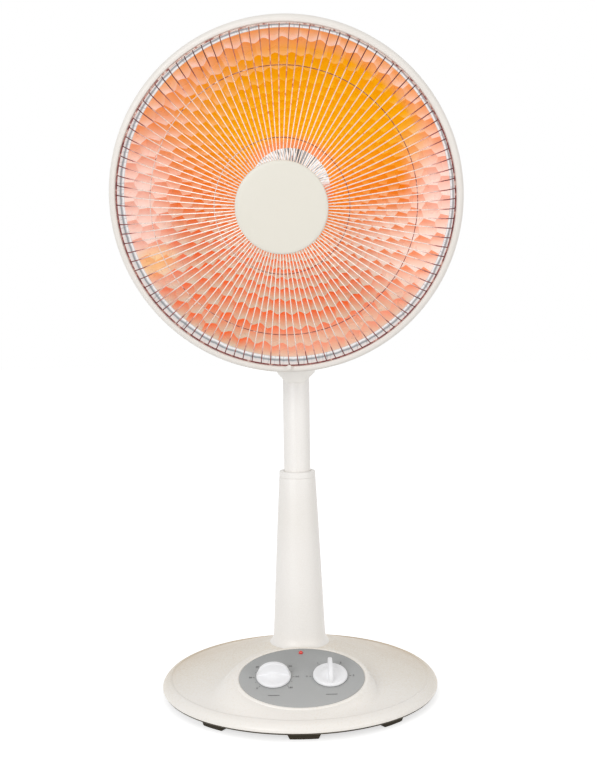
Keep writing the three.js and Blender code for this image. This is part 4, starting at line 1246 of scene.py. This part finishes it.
def add_guard():
    points = [
        (165.3, 0, 9.4), (163.2, 0, 12.3), (159.4, 0, 16.2), (154.6, 0, 19.6), (149.2, 0, 22.4),
        (143, 0, 25.2), (128, 0, 33), (112, 0, 38.6), (96, 0, 43), (80, 0, 46.8), (64, 0, 50),
        (36, 0, 51),
    ]
    wires = repeat_round(wire("guard_wire", points, 0.52, 1), GUARD_WIRES)
    settle(wires, "head", "guard", HEAD_PLACE, ["grille"], angle=60)
    edge = hoop("guard_edge", 165.4, 9.4, 0.7)
    middle = hoop("guard_middle", 128, 31.8, 0.42)
    inner = hoop("guard_inner", 64, 48.8, 0.4)
    rings = join("guard_rings", edge, middle, inner)
    settle(rings, "head", "ring", HEAD_PLACE, angle=60)


def add_cap():
    line = [
        (0, 52.1), (43.2, 52.1, 0.4), (44, 53.0, 0.5), (44, 54.2, 0.7), (42.9, 55.4, 0.9),
        (40.6, 55.8, 1), (26, 56.4, 10), (0, 56.6),
    ]
    cap = round_solid("front_cap", line, 144)
    settle(cap, "head", "cap_plastic", HEAD_PLACE, ["centre_cap"])
    back = [(2.8, 45.9), (38.6, 45.9, 1), (40, 49.9, 0.4), (2.8, 49.9)]
    disc = round_shell("cap_disc", back, 96)
    settle(disc, "head", "zinc", HEAD_PLACE, ["cap_back"])


def add_pan():
    """The polished pan round the element, set a little to the left as the guard shows it."""
    pole = dish_depth(DISH_FLOOR)
    line = [
        (17.3, pole + 0.3), (38.5, pole + 0.3, 1), (41.9, pole + 4.6, 1), (43.4, pole + 4.9, 0.4),
        (43.0, pole + 5.8, 0.4), (41.1, pole + 5.6, 0.8), (37.5, pole + 1.3, 1), (17.3, pole + 1.3),
    ]
    pan = round_shell("hub_pan", line, 144)
    settle(pan, "head", "pan", HEAD_PLACE @ shifted(-1.5, 0, 0), ["hub_cup"])


COIL_TURNS = 9
COIL_STEPS = 40 * COIL_TURNS


def cone_radius(height):
    return 14 + (height + 46) * 9 / 50


def add_element():
    """The ceramic cone, the coil wound on it, and the socket that holds both."""
    line = [
        (0, -96), (9, -96, 0.5), (9, -75.7), (15, -75.7, 0.6), (15, -69.7, 1.2),
        (cone_radius(-46), -46, 2), (cone_radius(3), 3, 2), (20, 7, 1.5), (0, 7),
    ]
    cone = round_solid("ceramic_form", line, 72)
    settle(cone, "head", "ceramic", HEAD_PLACE, ["ceramic_cone"])
    points = []
    for i in range(COIL_STEPS + 1):
        t = i / COIL_STEPS
        height = -43 + 44 * t
        angle = TURN * COIL_TURNS * t
        radius = cone_radius(height) + 1.2
        points.append((radius * math.cos(angle), radius * math.sin(angle), height))
    coil = wire("heating_wire", points, 1.15, 2)
    settle(coil, "head", "coil", HEAD_PLACE, ["heating_coil"], angle=60)
    holder = [
        (0, -120), (17, -120, 1), (17, -101, 0.5), (26, -101, 0.8), (26, -97.4, 0.6),
        (17, -97.2, 0.5), (17, -76, 1), (9.3, -76, 0.5), (9.3, -96.3), (0, -96.3),
    ]
    socket = round_solid("ceramic_holder", holder, 72)
    settle(socket, "head", "ceramic", HEAD_PLACE, ["ceramic_socket"])


BELL_RADIUS = 58


def add_rear_housing():
    """The bell behind the dish, with eight vent slots, and the lug that hangs it on the tilt bolt."""
    pole = dish_depth(DISH_FLOOR)
    back = pole - 52
    front = dish_depth(BELL_RADIUS) - 1.1
    bell = [
        (BELL_RADIUS, front), (BELL_RADIUS, pole - 14, 6), (55, pole - 30, 8), (46, back + 6, 9),
        (32, back + 1.5, 10), (0, back), (0, back + 2.5), (32, back + 4, 8), (44, back + 8, 8),
        (52.5, pole - 30, 6), (55.5, pole - 14), (55.5, front),
    ]
    shell = turned("bell_shell", eased(bell) + [(BELL_RADIUS, front)], 128)
    slots = []
    for i in range(8):
        outline = [(16, -3), (36, -3), (36, 12), (16, 12)]
        slot = bevelled(cut_out(f"slot_{i}", outline, 3.4), 1.5)
        put(slot, shifted(0, 0, back - 3) @ turn_about("Z", 45 * i))
        slots.append(slot)
    cutter = join("vent_slots", *slots)
    apply_modifier(shell, "BOOLEAN", operation="DIFFERENCE", object=cutter, solver="EXACT")
    bpy.data.objects.remove(cutter)
    lug = bevelled(cut_out("hinge_lug", ear_outline(40.5), 22), 1.6, 4)
    put(lug, shifted(0, -AXIS_RISE, -RIM_REACH) @ turn_about("X", 90) @ turn_about("Z", -90))
    settle(lug, "head", "white_plastic", HEAD_PLACE)
    settle(shell, "head", "white_plastic", HEAD_PLACE, ["rear_housing"])


# ------------------------------------------------------------------ the heater
add_base_cover()
add_feet()
add_base_plate()
add_gland()
add_base_screws()
add_panel()
add_knobs()
add_print()
add_column()
add_lock_knob()
add_tube()
add_neck()
add_yoke()
add_tilt_bolt()
add_dish()
add_rim()
add_guard()
add_cap()
add_pan()
add_element()
add_rear_housing()

# Solids of the frame that show as they are, each with its finish.
KEPT = {
    "ballast_weight": "iron",
    "tip_switch": "black",
    "terminal_block": "ceramic",
    "timer_unit": "black",
    "power_switch": "black",
    "indicator_lamp": "lens",
    "column_nut": "black",
    "swivel_post": "zinc",
    "swivel_washer": "black",
    "swing_motor": "zinc",
    "tilt_washer_left": "black",
    "tilt_washer_right": "black",
    "element_bracket": "zinc",
    "thermal_cutout": "black",
    "cap_screw": "zinc",
    "rim_screw": "rim_plastic",
}
for kept, finish in KEPT.items():
    materials = frame["nodes"][kept].data.materials
    for index in range(len(materials)):
        materials[index] = FINISHES[finish]


# ------------------------------------------------------------------ floor, light and sky
def seen_rays(tree):
    """One for rays that show a thing to the camera, in a mirror or through glass."""
    path = node(tree, "ShaderNodeLightPath")
    seen = plus(tree, path.outputs["Is Camera Ray"], path.outputs["Is Glossy Ray"], clamp=True)
    return plus(tree, seen, path.outputs["Is Transmission Ray"], clamp=True)


FLOOR_GLOW = 0.62
SKY_STRENGTH = 0.60
LAMPS_AIM = (0, 0, 0.35)


def add_floor():
    """A pale floor that shows nearly white and still takes the object's shadow."""
    deselect_all()
    bpy.ops.mesh.primitive_plane_add(size=14)
    floor = named("floor")
    material = bpy.data.materials.new("pale_floor")
    material.use_nodes = True
    tree = material.node_tree
    tree.nodes.clear()
    place = surface_place(tree)
    grain = noise(tree, place, 30, 2)
    tones = ramp(tree, grain, (0.3, (0.80, 0.80, 0.80, 1)), (0.7, (0.82, 0.82, 0.82, 1)))
    matt = node(tree, "ShaderNodeBsdfDiffuse", {"Color": tones})
    shown = node(tree, "ShaderNodeEmission", {"Color": (1, 1, 1, 1)})
    tree.links.new(times(tree, seen_rays(tree), FLOOR_GLOW), shown.inputs["Strength"])
    both = node(tree, "ShaderNodeAddShader", {0: matt.outputs[0], 1: shown.outputs[0]})
    node(tree, "ShaderNodeOutputMaterial", {"Surface": both.outputs[0]})
    floor.data.materials.append(material)


def add_sky():
    world = bpy.data.worlds.new("studio_sky")
    world.use_nodes = True
    tree = world.node_tree
    tree.nodes.clear()
    shown = remap(tree, seen_rays(tree), 0.0, 1.0, SKY_STRENGTH, 1.0)
    sky = node(tree, "ShaderNodeBackground", {"Color": (1, 1, 1, 1), "Strength": shown})
    node(tree, "ShaderNodeOutputWorld", {"Surface": sky.outputs[0]})
    bpy.context.scene.world = world


def add_lamp(name, place, size, power, colour):
    bpy.ops.object.light_add(type="AREA", location=place)
    lamp = named(name)
    lamp.data.shape = "RECTANGLE"
    lamp.data.size, lamp.data.size_y = size
    lamp.data.energy = power
    lamp.data.color = colour
    lamp.rotation_euler = (Vector(LAMPS_AIM) - Vector(place)).to_track_quat("-Z", "Y").to_euler()


add_floor()
add_sky()
add_lamp("key_lamp", (-1.5, -2.4, 1.1), (1.5, 1.5), 30, (0.98, 0.99, 1.0))
add_lamp("fill_lamp", (1.9, -1.8, 0.9), (1.5, 1.3), 12, (1.0, 0.985, 0.96))
